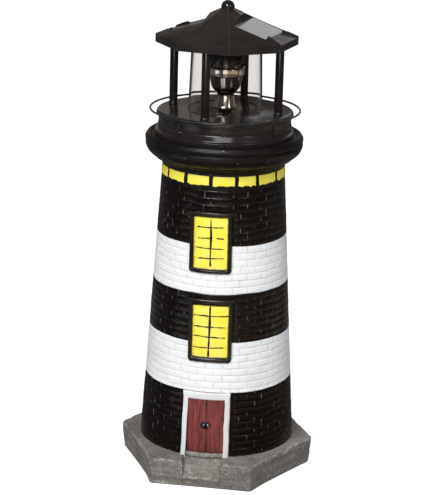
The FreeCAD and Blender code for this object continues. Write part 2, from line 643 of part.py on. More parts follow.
def roof_shell():
    """Eight-sided roof with a deep fascia and two sunk bays that cut through the hips."""
    outside = fused(prism(octagon(ROOF_INRADIUS), EAVE_BOTTOM, EAVE_TOP),
                    pyramid(ROOF_INRADIUS, EAVE_TOP, APEX_HEIGHT))
    inner = ROOF_INRADIUS - ROOF_WALL
    drop = ROOF_WALL / math.cos(math.atan(ROOF_SLOPE))
    inner_eave = EAVE_TOP + ROOF_SLOPE * ROOF_WALL - drop
    inside = fused(prism(octagon(inner), EAVE_BOTTOM - 1, inner_eave),
                   pyramid(inner, inner_eave, APEX_HEIGHT - drop))
    hollow = less(inside, *both_bays(ROOF_WALL, ROOF_WALL))
    plate_top = PLATE_BOTTOM + PLATE_THICK
    bosses = [rod(3.2, plate_top, 336, at).common(outside) for at in ROOF_SCREWS]
    finial_boss = rod(3.4, 341.5, 349).common(outside)
    shell = fused(less(outside, hollow), *bosses, finial_boss)
    pilots = [rod(0.9, plate_top - 1, plate_top + 5, at) for at in ROOF_SCREWS]
    lead_holes = [rod(1.2, 320, 345, Vector(x, 0, 0)) for x in (-30, 30)]
    seat = [Part.makeSphere(FINIAL_RADIUS + 0.03, Vector(0, 0, APEX_HEIGHT)), rod(1.53, 343.5, 350)]
    return less(shell, *both_bays(0, 0), *pilots, *lead_holes, *seat)


def solar_panel(turn):
    """Glazed cell laminate lying in its bay, a hair smaller all round."""
    gap = 0.25
    half = PANEL_HALF_WIDTH - gap
    low, high = BAY_INNER + gap, BAY_OUTER - gap
    under = [Vector(r, -half, bay_height(r) - PANEL_THICK) for r in (low, high)]
    side = [under[0], under[1], under[1] + UP * (PANEL_THICK - 0.05), under[0] + UP * (PANEL_THICK - 0.05)]
    slab = Part.Face(Part.makePolygon(side + side[:1])).extrude(Vector(0, 2 * half, 0))
    return about_z(slab, turn)


def roof_underplate():
    """Octagonal plate inside the fascia, with the chimney's ring and the post sockets."""
    low, high = PLATE_BOTTOM, PLATE_BOTTOM + PLATE_THICK
    plate = prism(octagon(ROOF_INRADIUS - ROOF_WALL - 0.2), low, high)
    ring = tube(CHIMNEY_TOP + 1.6, CHIMNEY_TOP + 0.25, low - 1.6, low + 0.5)
    sockets = [rod(4.4, low + 0.5, low + 3.2, polar(POST_CIRCLE, b)) for b in POSTS.values()]
    plate = fused(plate, ring, *sockets)
    holes = [rod(POST_PIN + 0.03, 310, 340, polar(POST_CIRCLE, b)) for b in POSTS.values()]
    holes += [rod(1.3, 310, 340, at) for at in ROOF_SCREWS] + [rod(4.0, 310, 340)]
    return less(plate, *holes)


def lamp_holder():
    """Tapered holder that hangs from the plate and grips the lamp."""
    low = 310.6
    body = turned((0, low), (4.2, low), (4.6, low + 0.4), (5.6, 319.0), (7.4, 322.6), (7.4, PLATE_BOTTOM),
                  (3.95, PLATE_BOTTOM), (3.95, 328.4), (0, 328.4))
    return less(body, rod(2.54, 300, 318), rod(1.2, 310, 330))


def led_lamp():
    """Five millimetre lamp, dome down, with its collar."""
    dome = turned((0, 306.2), ((1.78, 306.94), (2.5, 308.7)), (2.5, 317.0), (0, 317.0))
    collar = rod(2.9, 309.8, 310.6)
    return fused(dome, collar)


def finial_ball():
    ball = Part.makeSphere(FINIAL_RADIUS, Vector(0, 0, APEX_HEIGHT))
    return fused(ball, rod(1.5, 343.8, APEX_HEIGHT))


# ---- the assembly ----------------------------------------------------------
def lantern_pieces():
    """Every node of the lantern, drawn square to the axes."""
    pieces = {
        "gallery_drum": gallery_drum(), "gallery_hoop": gallery_hoop(), "lantern_base": lantern_base(),
        "door_hinge_pin": hinge_pin(), "battery_door": battery_door(), "battery_cell": battery_cell(),
        "contact_plus": contact_leaf(1), "contact_minus": contact_leaf(-1),
        "circuit_board": circuit_board(), "switch_body": switch_body(), "switch_knob": switch_knob(),
        "drive_gear": drive_gear(), "idler_gear": idler_gear(), "motor_pinion": motor_pinion(),
        "motor_shaft": motor_shaft(), "drive_motor": drive_motor(), "gear_plate": gear_plate(),
        "idler_axle": idler_axle(), "shaft_lower_bush": shaft_lower_bush(),
        "shaft_deck_bush": shaft_deck_bush(), "beacon_shaft": beacon_shaft(),
        "beacon_pedestal": beacon_pedestal(), "reflector_bowl": reflector_bowl(),
        "beam_mirror": beam_mirror(), "lens_chimney": lens_chimney(), "panel_lead": panel_lead(),
        "roof_shell": roof_shell(), "roof_underplate": roof_underplate(), "lamp_holder": lamp_holder(),
        "led_lamp": led_lamp(), "finial_ball": finial_ball(),
        "solar_panel_right": solar_panel(0), "solar_panel_left": solar_panel(180),
    }
    for name, bearing in POSTS.items():
        pieces["lantern_post_" + name] = post(bearing)
    groups = {
        "base_screws": [pan_screw(at, SEAT_HEIGHT + 0.4, 266, 0.9, 2.5) for at in BASE_SCREWS],
        "plate_screws": [pan_screw(at, GEAR_PLATE_BOTTOM - 1.2, 268, 0.8, 1.9) for at in STANDOFFS],
        "roof_screws": [pan_screw(at, PLATE_BOTTOM - 1.2, 330.5, 0.9, 2.2) for at in ROOF_SCREWS],
    }
    for name, solids in groups.items():
        pieces[name] = Part.makeCompound(solids)
    return pieces


def main():
    os.makedirs("parts", exist_ok=True)
    nodes = {"tower_casting": tower_casting()}
    for name, shape in lantern_pieces().items():
        nodes[name] = about_z(shape, LANTERN_TURN)
    for name, shape in nodes.items():
        if not shape.isValid() or any(s.Volume <= 0 for s in shape.Solids) or not shape.Solids:
            raise ValueError(name + " is not a sound solid")
        solid = shape if len(shape.Solids) > 1 else shape.Solids[0]
        solid.exportStep(os.path.join("parts", name + ".step"))
        box = shape.BoundBox
        print("%-20s solids %d  volume %9.1f  z %7.2f to %7.2f" %
              (name, len(shape.Solids), shape.Volume, box.ZMin, box.ZMax))


main()
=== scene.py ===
"""Looks of the garden lighthouse: painted brick tower and black solar lantern.

Metres, +Z up, the door faces -Y, as in the frame.  Sizes in the classes are in
millimetres, as a maker would write them, and mm() turns them into metres.
A bearing is an angle from the front (-Y) towards +X, in degrees.
"""

import logging
import math
from dataclasses import dataclass
from enum import Enum

import bmesh
import bpy
import numpy as np
from mathutils import Matrix


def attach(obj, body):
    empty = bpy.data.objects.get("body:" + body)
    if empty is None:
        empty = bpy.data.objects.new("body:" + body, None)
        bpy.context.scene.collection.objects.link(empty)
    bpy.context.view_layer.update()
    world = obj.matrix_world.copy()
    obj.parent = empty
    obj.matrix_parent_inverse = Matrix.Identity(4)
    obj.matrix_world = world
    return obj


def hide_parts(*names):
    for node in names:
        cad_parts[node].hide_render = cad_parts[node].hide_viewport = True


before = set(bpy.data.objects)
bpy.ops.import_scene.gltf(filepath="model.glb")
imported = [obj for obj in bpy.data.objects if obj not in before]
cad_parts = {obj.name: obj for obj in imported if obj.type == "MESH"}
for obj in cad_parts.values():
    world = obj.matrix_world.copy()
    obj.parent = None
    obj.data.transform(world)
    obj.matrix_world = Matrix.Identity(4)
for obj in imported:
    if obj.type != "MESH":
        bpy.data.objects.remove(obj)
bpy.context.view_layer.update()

LOG = logging.getLogger("lighthouse")
Array = np.ndarray
Colour = tuple[float, float, float]
Socket = bpy.types.NodeSocket
Material = bpy.types.Material
LANTERN_TURN = -11.5        # degrees about +Z that the lantern sits askew on the tower
RADIAN = 57.3               # degrees, near enough for places on a drum or floor
MERGE_REACH = 1e-7          # metres within which points of a made mesh are one
COPY_MERGE_REACH = 2e-6     # the same for a copied node
VANISHED = 1e-8             # metres below which an edge is dropped
FLAT_TURN = 0.6             # degrees within which two neighbouring faces are one
TRIM_BACK = -1.2            # millimetres off the cone, inside it, where the backs of trims lie
ROOM_PATCH = 1000.0 / 2.6   # size of the patches of the mirrored room, as noise() takes it


class Body(Enum):
    """The rigid bodies of the frame that new pieces ride on."""

    TOWER = "tower"
    LANTERN = "lantern"
    BEACON = "beacon"


# ---- numbers ----
def mm(value: Array | float) -> Array | float:
    """Millimetres to metres."""
    return value * 0.001


def smoothstep(low: float, high: float, value: Array) -> Array:
    """Soft step from 0 at low to 1 at high: 3t^2 - 2t^3 of the share t."""
    share = np.clip((value - low) / (high - low), 0.0, 1.0)
    return share * share * (3.0 - 2.0 * share)


def scattered(*whole: Array, seed: int) -> Array:
    """Repeatable random numbers from -1 to 1 for whole-number keys.

    The keys are multiplied by large odd numbers, mixed with xor and shifts, and
    the low sixteen bits are read as a fraction.

    Args:
        whole: up to three arrays of whole numbers.
        seed: which pattern.

    Returns:
        A number for each key.
    """
    mixed = np.asarray(seed * 2654435, dtype=np.int64)
    for key, prime in zip(whole, (73856093, 19349663, 83492791)):
        mixed = mixed ^ (np.asarray(key).astype(np.int64) * prime)
    mixed = ((mixed ^ (mixed >> 13)) & 0xFFFFFFF) * 1274126177 & 0xFFFFFFFF
    return ((mixed ^ (mixed >> 16)) & 0xFFFF) / 32767.5 - 1.0


def lumps(points: Array, cell: float, seed: int, layers: int) -> Array:
    """Smooth layered noise from about -1 to 1 over points in space.

    Each layer blends a random value at the eight corners of a cubic lattice with
    smoothstep weights; every layer has half the cell and half the height.

    Args:
        points: any array whose last axis is x, y, z.
        cell: lattice spacing of the first layer, in the points' unit.
        seed: which pattern.
        layers: how many layers are added.

    Returns:
        The noise at each point.
    """
    total = np.zeros(points.shape[:-1])
    height = 1.0
    for layer in range(layers):
        scaled = points / (cell * 0.5**layer) + 512.0
        whole = np.floor(scaled).astype(np.int64)
        share = scaled - whole
        share = share * share * (3.0 - 2.0 * share)
        for corner in range(8):
            bits = np.array([corner & 1, corner >> 1 & 1, corner >> 2 & 1])
            node = whole + bits
            weight = np.prod(np.where(bits, share, 1.0 - share), axis=-1)
            total += height * weight * scattered(node[..., 0], node[..., 1], node[..., 2], seed=seed + layer)
        height *= 0.5
    return total


def ring_place(radius: Array, bearing: Array, height: Array) -> Array:
    """Points (r sin b, -r cos b, z) from radius, bearing in degrees, and height."""
    turn = np.radians(bearing)
    return np.stack(np.broadcast_arrays(radius * np.sin(turn), -radius * np.cos(turn), height), axis=-1)


def turned_about_z(points: Array, degrees: float) -> Array:
    """Points turned about +Z.

    Args:
        points: any array whose last axis is x, y, z.
        degrees: the turn, from +X towards +Y.

    Returns:
        The turned points.
    """
    c, s = math.cos(math.radians(degrees)), math.sin(math.radians(degrees))
    x, y = points[..., 0], points[..., 1]
    return np.stack([c * x - s * y, s * x + c * y, points[..., 2]], axis=-1)


def on_lantern(points: Array) -> Array:
    """Points turned as the whole lantern is, which sits a little askew on the tower."""
    return turned_about_z(points, LANTERN_TURN)


def noise_places(x: Array, z: Array, key: float) -> Array:
    """Front-view points as places for lumps(), with a third value that gives each piece its own noise."""
    return np.stack(np.broadcast_arrays(x, z, np.asarray(float(key))), axis=-1)


def softened(corners: list[tuple[float, float]], reach: float, steps: int = 4, closed: bool = True) -> Array:
    """Outline with every corner eased.

    Each corner becomes a quadratic curve that starts and ends at most reach from
    it, and at most 0.45 of the way to its neighbours.

    Args:
        corners: (across, up) pairs in order.
        reach: how far from a corner its curve starts.
        steps: steps in each curve.
        closed: whether the last corner joins the first.

    Returns:
        The eased outline, one row for each point.
    """
    points = np.array(corners, float)
    eased = []
    for k, here in enumerate(points):
        if not closed and k in (0, len(points) - 1):
            eased.append(here[None])
            continue
        before, after = points[k - 1] - here, points[(k + 1) % len(points)] - here
        cut = min(reach, 0.45 * np.linalg.norm(before), 0.45 * np.linalg.norm(after))
        start = here + before / np.linalg.norm(before) * cut
        end = here + after / np.linalg.norm(after) * cut
        share = np.linspace(0, 1, steps + 1)[:, None]
        eased.append((1 - share) ** 2 * start + 2 * share * (1 - share) * here + share**2 * end)
    return np.concatenate(eased)


def lathe(outline: Array, columns: int) -> Array:
    """Grid of an outline of (radius, height) carried round the axis."""
    bearing = np.arange(columns) * 360.0 / columns
    return ring_place(outline[:, :1], bearing[None], outline[:, 1:])


def tube_along(path: Array, radius: float, sides: int) -> Array:
    """Round tube along a path, ring by ring, each ring square to the path.

    The first side vector is any one square to the path's start, and is carried
    on by taking away what lies along each new direction.

    Args:
        path: points along its middle.
        radius: the tube's own.
        sides: points in each ring.

    Returns:
        A grid with one ring for each point of the path.
    """
    ahead = np.gradient(path, axis=0)
    ahead /= np.linalg.norm(ahead, axis=1, keepdims=True)
    side = np.cross(ahead[0], [0.31, 0.87, 0.39])
    rings = []
    angle = np.linspace(0, 2 * math.pi, sides, endpoint=False)[:, None]
    for here, along in zip(path, ahead):
        side = side - along * (side @ along)
        side /= np.linalg.norm(side)
        rings.append(here + radius * (np.cos(angle) * side + np.sin(angle) * np.cross(along, side)))
    return np.array(rings)


def with_ends(grid: Array) -> Array:
    """Grid with its first and last ring drawn together to their middles."""
    return np.concatenate([grid[:1].mean(1, keepdims=True).repeat(grid.shape[1], 1), grid,
                           grid[-1:].mean(1, keepdims=True).repeat(grid.shape[1], 1)])


def cushion(face: Array, back: Array) -> Array:
    """A patch closed all round: its face, then its back in reverse, with both ends drawn together."""
    return with_ends(np.concatenate([face, back[:, ::-1]], axis=1))


def over_cushion(face: Array, back: Array) -> Array:
    """A layer's values over the points of a cushion()."""
    layer = np.concatenate([face, back[:, ::-1]], axis=1)
    return np.concatenate([layer[:1], layer, layer[-1:]])


def outward(grid: Array) -> Array:
    """Unit normals of a grid that wraps both ways: the cross product of its two differences.

    Args:
        grid: rows x columns x 3.

    Returns:
        One normal for each point.
    """
    across = np.roll(grid, -1, 1) - np.roll(grid, 1, 1)
    along = np.roll(grid, -1, 0) - np.roll(grid, 1, 0)
    normal = np.cross(across, along)
    return normal / np.maximum(np.linalg.norm(normal, axis=-1, keepdims=True), 1e-12)


# ---- meshes ----
@dataclass
class Sheet:
    """One closed surface as a grid of points in millimetres.

    Attributes:
        points: rows x columns x 3.
        wrap_rows: the last row joins the first.
        layers: named values, one for each point, for the materials to read.
    """

    points: Array
    wrap_rows: bool = False
    layers: dict[str, Array] | None = None

    def faces(self, first: int) -> Array:
        """Corner numbers of the grid's four-sided faces, turned to face outwards.

        Args:
            first: number of the sheet's first point in the mesh.

        Returns:
            Four point numbers for each face.
        """
        rows, columns = self.points.shape[:2]
        index = np.arange(rows * columns).reshape(rows, columns)
        here = index if self.wrap_rows else index[:-1]
        above = np.roll(index, -1, 0) if self.wrap_rows else index[1:]
        quads = np.stack([here, np.roll(here, -1, 1), np.roll(above, -1, 1), above], axis=-1).reshape(-1, 4)
        a, b, c, d = (self.points.reshape(-1, 3)[quads[:, k]] for k in range(4))
        volume = np.einsum("ij,ij->", a, np.cross(b, c)) + np.einsum("ij,ij->", a, np.cross(c, d))
        return first + (quads if volume > 0 else quads[:, ::-1])

    def values(self, layer: str) -> Array:
        """A layer's value at each point, and 0 where the sheet doesn't have the layer."""
        value = (self.layers or {}).get(layer, 0.0)
        return np.broadcast_to(value, self.points.shape[:2]).astype(float).ravel()


class Piece:
    """A visible object made of one or more closed sheets."""

    def __init__(self, name: str, body: Body, slot: str, replaces: tuple[str, ...] = ()) -> None:
        """Args: name, the body it rides on, its record slot, and the nodes it stands for."""
        self.name, self.body, self.slot, self.replaces = name, body, slot, replaces
        self.sheets: list[Sheet] = []

    def add(self, points: Array, wrap_rows: bool = False, **layers: Array) -> "Piece":
        """Adds a closed sheet, in millimetres."""
        self.sheets.append(Sheet(points, wrap_rows, layers))
        return self

    def make(self, material: Material, sharp: float) -> bpy.types.Object:
        """Builds the mesh, dresses it and hangs it on its body.

        Args:
            material: its finish.
            sharp: edges that turn by more than this many degrees stay crisp.

        Returns:
            The new object.
        """
        points = np.concatenate([s.points.reshape(-1, 3) for s in self.sheets])
        starts = np.cumsum([0] + [s.points.shape[0] * s.points.shape[1] for s in self.sheets[:-1]])
        quads = np.concatenate([s.faces(int(first)) for s, first in zip(self.sheets, starts)])
        mesh = bpy.data.meshes.new(self.name)
        mesh.vertices.add(len(points))
        mesh.vertices.foreach_set("co", mm(points).astype(np.float32).ravel())
        mesh.loops.add(quads.size)
        mesh.loops.foreach_set("vertex_index", quads.astype(np.int32).ravel())
        mesh.polygons.add(len(quads))
        mesh.polygons.foreach_set("loop_start", np.arange(0, quads.size, 4, dtype=np.int32))
        mesh.update(calc_edges=True)
        for layer in sorted({name for s in self.sheets for name in s.layers or {}}):
            values = np.concatenate([s.values(layer) for s in self.sheets])
            mesh.attributes.new(layer, "FLOAT", "POINT").data.foreach_set("value", values.astype(np.float32))
        weld(mesh)
        mesh.polygons.foreach_set("use_smooth", np.ones(len(mesh.polygons), bool))
        mesh.set_sharp_from_angle(angle=math.radians(sharp))
        return self.hang(bpy.data.objects.new(self.name, mesh), material)

    def hang(self, made: bpy.types.Object, material: Material) -> bpy.types.Object:
        """Links an object at the origin, gives it its material, and rides it on its body.

        Args:
            made: the object.
            material: its finish.

        Returns:
            The same object.
        """
        bpy.context.scene.collection.objects.link(made)
        made.data.materials.clear()
        made.data.materials.append(material)
        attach(made, self.body.value)
        if self.replaces:
            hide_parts(*self.replaces)
        LOG.info("%-24s %6d faces on %s", self.name, len(made.data.polygons), self.body.value)
        return made


def cast_piece(name: str) -> Piece:
    """A visible part of the tower casting."""
    return Piece(name, Body.TOWER, "cast_resin", ("tower_casting",))


def weld(mesh: bpy.types.Mesh) -> None:
    """Merges points that coincide, as at poles, and drops the faces that vanish.

    Args:
        mesh: the mesh, which is changed in place.
    """
    work = bmesh.new()
    work.from_mesh(mesh)
    bmesh.ops.remove_doubles(work, verts=work.verts, dist=MERGE_REACH)
    bmesh.ops.dissolve_degenerate(work, edges=work.edges, dist=VANISHED)
    work.to_mesh(mesh)
    work.free()
    mesh.validate()


def bevelled_copy(piece: Piece, material: Material, width: float, turn: float = 20.0) -> bpy.types.Object:
    """A node's own shape with its edges broken, in place of the node.

    The loose triangles of a copy are merged, flat neighbours are joined, and a
    Bevel modifier breaks each edge that turns by more than the given angle.

    Args:
        piece: name, body and slot of the new piece, and the node that is copied and replaced.
        material: its finish.
        width: bevel width in millimetres.
        turn: the least angle, in degrees, of an edge that is broken.

    Returns:
        The new object.
    """
    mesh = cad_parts[piece.replaces[0]].data.copy()
    mesh.name = piece.name
    work = bmesh.new()
    work.from_mesh(mesh)
    bmesh.ops.remove_doubles(work, verts=work.verts, dist=COPY_MERGE_REACH)
    bmesh.ops.dissolve_limit(work, angle_limit=math.radians(FLAT_TURN), verts=work.verts, edges=work.edges)
    work.to_mesh(mesh)
    work.free()
    mesh.polygons.foreach_set("use_smooth", np.ones(len(mesh.polygons), bool))
    mesh.set_sharp_from_angle(angle=math.radians(turn))
    made = piece.hang(bpy.data.objects.new(piece.name, mesh), material)
    bevel = made.modifiers.new("broken_edges", "BEVEL")
    bevel.width = mm(width)
    bevel.segments = 2
    bevel.limit_method = "ANGLE"
    bevel.angle_limit = math.radians(turn)
    bevel.use_clamp_overlap = True
    bevel.harden_normals = True
    return made


# ---- shader wiring ----
class Nodes:
    """A node tree, with short methods for the nodes that finishes, floor and world use."""

    def __init__(self, tree: bpy.types.NodeTree, space: str) -> None:
        """Takes up a tree, and the kind of coordinates that its patterns follow."""
        self.tree = tree
        self.coordinates = self.node("TexCoord").outputs[space]

    def node(self, kind: str, **settings: object) -> bpy.types.Node:
        """New node with some of its settings.

        Args:
            kind: its type, as after "ShaderNode".
            settings: its attributes and their values.

        Returns:
            The new node.
        """
        made = self.tree.nodes.new("ShaderNode" + kind)
        for key, value in settings.items():
            setattr(made, key, value)
        return made

    def link(self, source: Socket, target: Socket) -> None:
        """Joins an output to an input."""
        self.tree.links.new(source, target)

    def axes(self, vector: Socket | None = None) -> bpy.types.bpy_prop_collection:
        """X, Y and Z of a place.

        Args:
            vector: the place, if other than the coordinates.

        Returns:
            Three sockets, by name.
        """
        split = self.node("SeparateXYZ")
        self.link(vector or self.coordinates, split.inputs["Vector"])
        return split.outputs

    def stretched(self, scale: Colour, turn: float = 0.0) -> Socket:
        """Coordinates scaled along each axis, after a turn about Z.

        Args:
            scale: along X, Y and Z.
            turn: in degrees.

        Returns:
            The new coordinates.
        """
        mapping = self.node("Mapping", vector_type="POINT")
        mapping.inputs["Scale"].default_value = scale
        mapping.inputs["Rotation"].default_value = (0, 0, math.radians(turn))
        self.link(self.coordinates, mapping.inputs["Vector"])
        return mapping.outputs["Vector"]

    def noise(self, size: float, detail: float = 4.0, rough: float = 0.55,
              vector: Socket | None = None) -> Socket:
        """Noise whose lumps are about size millimetres across, 0 to 1.

        Args:
            size: of the lumps.
            detail, rough: the noise node's own.
            vector: where it is read, if other than the coordinates.

        Returns:
            The noise's value.
        """
        made = self.node("TexNoise")
        made.inputs["Scale"].default_value = 1.0 / mm(size)
        made.inputs["Detail"].default_value = detail
        made.inputs["Roughness"].default_value = rough
        self.link(vector or self.coordinates, made.inputs["Vector"])
        return made.outputs["Fac"]

    def specks(self, size: float) -> Socket:
        """Distance to scattered points, for pits and flecks.

        Args:
            size: from point to point, in millimetres.

        Returns:
            The distance, as a share of the size.
        """
        made = self.node("TexVoronoi", feature="F1")
        made.inputs["Scale"].default_value = 1.0 / mm(size)
        self.link(self.coordinates, made.inputs["Vector"])
        return made.outputs["Distance"]

    def layer(self, name: str) -> Socket:
        """A mesh attribute."""
        return self.node("Attribute", attribute_name=name).outputs["Fac"]

    def between(self, value: Socket, low: float, high: float,
                to: tuple[float, float] = (0.0, 1.0)) -> Socket:
        """Value re-spread from low..high to the given range, and kept inside it.

        Args:
            value: what is spread.
            low, high: its range.
            to: the range it gets.

        Returns:
            The new value.
        """
        made = self.node("MapRange", clamp=True)
        for key, number in zip(("From Min", "From Max", "To Min", "To Max"), (low, high, *to)):
            made.inputs[key].default_value = number
        self.link(value, made.inputs["Value"])
        return made.outputs["Result"]

    def calc(self, operation: str, first: object, second: object) -> Socket:
        """Two values, sockets or numbers, through a Math node.

        Args:
            operation: the Math node's.
            first, second: sockets or numbers.

        Returns:
            The result.
        """
        made = self.node("Math", operation=operation)
        for socket, value in zip(made.inputs, (first, second)):
            if isinstance(value, Socket):
                self.link(value, socket)
            else:
                socket.default_value = value
        return made.outputs["Value"]

    def times(self, first: object, second: object) -> Socket:
        """Product of two values, sockets or numbers."""
        return self.calc("MULTIPLY", first, second)

    def plus(self, first: object, second: object) -> Socket:
        """Sum of two values, sockets or numbers."""
        return self.calc("ADD", first, second)

    def blend(self, share: Socket, first: object, second: object) -> Socket:
        """Mix of two colours, sockets or tuples.

        Args:
            share: 0 for the first, 1 for the second.
            first, second: the colours.

        Returns:
            The mixed colour.
        """
        made = self.node("Mix", data_type="RGBA", clamp_factor=True)
        self.link(share, made.inputs["Factor"])
        for socket, value in ((made.inputs[6], first), (made.inputs[7], second)):
            if isinstance(value, tuple):
                socket.default_value = (*value, 1.0)
            else:
                self.link(value, socket)
        return made.outputs[2]


class Wiring(Nodes):
    """A material's nodes, with its Principled shader."""

    def __init__(self, name: str) -> None:
        """Starts a material of that name, whose patterns follow the object.

        Args:
            name: of the material.
        """
        self.material = bpy.data.materials.new(name)
        self.material.use_nodes = True
        super().__init__(self.material.node_tree, "Object")
        self.shader = self.tree.nodes["Principled BSDF"]

    def fixed(self, **values: object) -> None:
        """Sets uniform values on the shader's own sockets; _ in a name is a space.

        Args:
            values: sockets and their values.
        """
        for key, value in values.items():
            socket = self.shader.inputs[key.replace("_", " ")]
            socket.default_value = (*value, 1.0) if isinstance(value, tuple) else value

    def colour(self, socket: Socket) -> None:
        """Feeds the base colour."""
        self.link(socket, self.shader.inputs["Base Color"])

    def roughness(self, socket: Socket) -> None:
        """Feeds the roughness."""
        self.link(socket, self.shader.inputs["Roughness"])

    def bump(self, height: Socket, depth: float, strength: float) -> None:
        """Adds a bump of a depth in millimetres on top of those already there.

        Args:
            height: a pattern from 0 to 1.
            depth: what 1 stands for.
            strength: the Bump node's.
        """
        made = self.node("Bump")
        made.inputs["Distance"].default_value = mm(depth)
        made.inputs["Strength"].default_value = strength
        self.link(height, made.inputs["Height"])
        earlier = self.shader.inputs["Normal"].links
        if earlier:
            self.link(earlier[0].from_socket, made.inputs["Normal"])
        self.link(made.outputs["Normal"], self.shader.inputs["Normal"])


# ---- finishes ----
@dataclass(frozen=True)
class BrickPaint:
    """Brushed paint on brick relief; joints grey on white, and a pale painted highlight on black.

    Attributes:
        upright_tint_and_glint: how strongly the upright joints take the joint's colour.
        level_tint_and_glint: the same for the level ones.
        gaps: noise values between which a joint goes from plain to fully tinted.
        shine: how much it mirrors, as the shader's specular level.
    """

    name: str
    colour: Colour
    patch: Colour
    # the joints' colour: grey on white paint, a pale painted highlight on black paint
    joint: Colour
    roughness: float
    upright_tint_and_glint: float
    level_tint_and_glint: float
    gaps: tuple[float, float]
    shine: float

    def material(self) -> Material:
        """Paint with brush patches, a joint tint (painted highlight on black), a fine orange-peel bump.

        Returns:
            The finish.
        """
        w = Wiring(self.name)
        patches = w.between(w.noise(34.0, 3.0), 0.38, 0.68)
        base = w.blend(patches, self.colour, self.patch)
        upright = w.times(w.between(w.layer("upright"), 0.15, 0.75), self.upright_tint_and_glint)
        level = w.times(w.layer("level"), self.level_tint_and_glint)
        share = w.times(w.calc("MAXIMUM", upright, level), w.between(w.noise(3.4, 2.0), *self.gaps))
        w.colour(w.blend(share, base, self.joint))
        w.roughness(w.between(w.noise(5.0, 3.0), 0.3, 0.75, (self.roughness * 0.8, self.roughness * 1.35)))
        w.fixed(Specular_IOR_Level=self.shine)
        w.bump(w.noise(1.1, 3.0, 0.6), 0.10, 0.5)
        w.bump(w.noise(6.0, 2.0), 0.25, 0.5)
        return w.material


@dataclass(frozen=True)
class SpeckledPaint:
    """Black paint over rough casting, with a few tiny pale specks of painted highlight, glints on the grain.
    """

    name: str
    colour: Colour
    patch: Colour
    glint_speck: Colour
    roughness: float

    def material(self) -> Material:
        """Two blacks in patches, painted-highlight specks at some scattered points, and a granular bump.

        Returns:
            The finish.
        """
        w = Wiring(self.name)
        base = w.blend(w.between(w.noise(16.0, 4.0, 0.6), 0.38, 0.66), self.colour, self.patch)
        rare = w.between(w.noise(5.0, 2.0), 0.56, 0.60)
        glint_dots = w.times(w.between(w.specks(2.6), 0.13, 0.07), rare)
        w.colour(w.blend(glint_dots, base, self.glint_speck))
        w.roughness(w.between(w.noise(4.0, 3.0), 0.3, 0.75, (self.roughness * 0.75, self.roughness * 1.3)))
        w.fixed(Specular_IOR_Level=0.23)
        w.bump(w.noise(1.3, 4.0, 0.7), 0.28, 0.8)
        w.bump(w.noise(7.0, 2.0), 0.3, 0.5)
        return w.material


@dataclass(frozen=True)
class Stone:
    """Grey cast stone, dry-brushed paler on its edges, with pits."""

    name: str
    colour: Colour
    dark: Colour
    pale: Colour
    warm: Colour

    def material(self) -> Material:
        """Three greys and a warm stain over coarse and fine noise, flecks, pits and brush scratches.

        Returns:
            The finish.
        """
        w = Wiring(self.name)
        base = w.blend(w.between(w.noise(16.0, 5.0, 0.65), 0.36, 0.66), self.dark, self.colour)
        base = w.blend(w.between(w.noise(21.0, 2.0), 0.42, 0.60, (0.0, 0.40)), base, self.warm)
        grain = w.between(w.noise(1.6, 4.0, 0.7), 0.46, 0.72)
        base = w.blend(w.times(grain, 0.45), base, self.pale)
        streak = w.noise(6.0, 4.0, 0.65, w.stretched((0.10, 0.10, 2.2)))
        base = w.blend(w.between(streak, 0.50, 0.70, (0.0, 0.45)), base, self.dark)
        base = w.blend(w.between(streak, 0.48, 0.34, (0.0, 0.30)), base, self.pale)
        fleck = w.times(w.between(w.specks(1.9), 0.34, 0.16), w.between(w.noise(8.0, 3.0), 0.54, 0.64))
        base = w.blend(w.times(fleck, 0.8), base, self.pale)
        edge = w.times(w.layer("edge"), w.between(w.noise(3.2, 3.0), 0.44, 0.64))
        w.colour(w.blend(w.times(edge, 0.7), base, self.pale))
        w.roughness(w.between(w.noise(3.0), 0.3, 0.7, (0.55, 0.85)))
        w.fixed(Specular_IOR_Level=0.35)
        w.bump(w.between(w.specks(2.4), 0.0, 0.35), 0.22, 0.5)
        w.bump(w.noise(3.0, 6.0, 0.7), 0.7, 0.7)
        return w.material


@dataclass(frozen=True)
class DoorPaint:
    """Red-brown boards, dry-brushed lighter along their grain, with painted shade in creases and at the rim.
    """

    name: str
    dark: Colour
    bright: Colour
    rim_and_crease_shade: Colour

    def material(self) -> Material:
        """Upright streaks of two reds, with near-black painted shade in the seam, board lines and along the
        rim.

        Returns:
            The finish.
        """
        w = Wiring(self.name)
        grain = w.noise(1.7, 4.0, 0.65, w.stretched((1.0, 1.0, 0.09)))
        base = w.blend(w.between(grain, 0.40, 0.64), self.dark, self.bright)
        worn = w.between(w.noise(4.5, 4.0, 0.6, w.stretched((1.0, 1.0, 0.35))), 0.52, 0.74, (0.0, 0.8))
        base = w.blend(worn, base, self.dark)
        w.colour(w.blend(w.times(w.layer("edge"), 0.85), base, self.rim_and_crease_shade))
        w.roughness(w.between(grain, 0.3, 0.7, (0.38, 0.62)))
        w.bump(grain, 0.35, 0.8)
        return w.material


@dataclass(frozen=True)
class WindowGlaze:
    """Thick yellow glaze, beige at its foot; its dark rim is frame paint, with painted shade down the left.
    """

    name: str
    colour: Colour
    pale: Colour
    beige: Colour
    olive: Colour
    rim_paint_and_shade: Colour

    def material(self) -> Material:
        """Two yellows in soft patches, and a ragged dark rim of frame paint and painted shade.

        Returns:
            The finish.
        """
        w = Wiring(self.name)
        base = w.blend(w.between(w.noise(7.0, 4.0), 0.38, 0.66), self.colour, self.pale)
        ragged = w.plus(w.layer("edge"), w.between(w.noise(1.4, 3.0), 0.3, 0.7, (-0.22, 0.22)))
        base = w.blend(w.layer("beige"), base, self.beige)
        base = w.blend(w.between(ragged, 0.15, 0.6), base, self.olive)
        w.colour(w.blend(w.between(ragged, 0.6, 1.0), base, self.rim_paint_and_shade))
        w.roughness(w.between(w.noise(3.0), 0.3, 0.7, (0.32, 0.5)))
        w.bump(w.noise(2.2, 3.0), 0.2, 0.6)
        return w.material


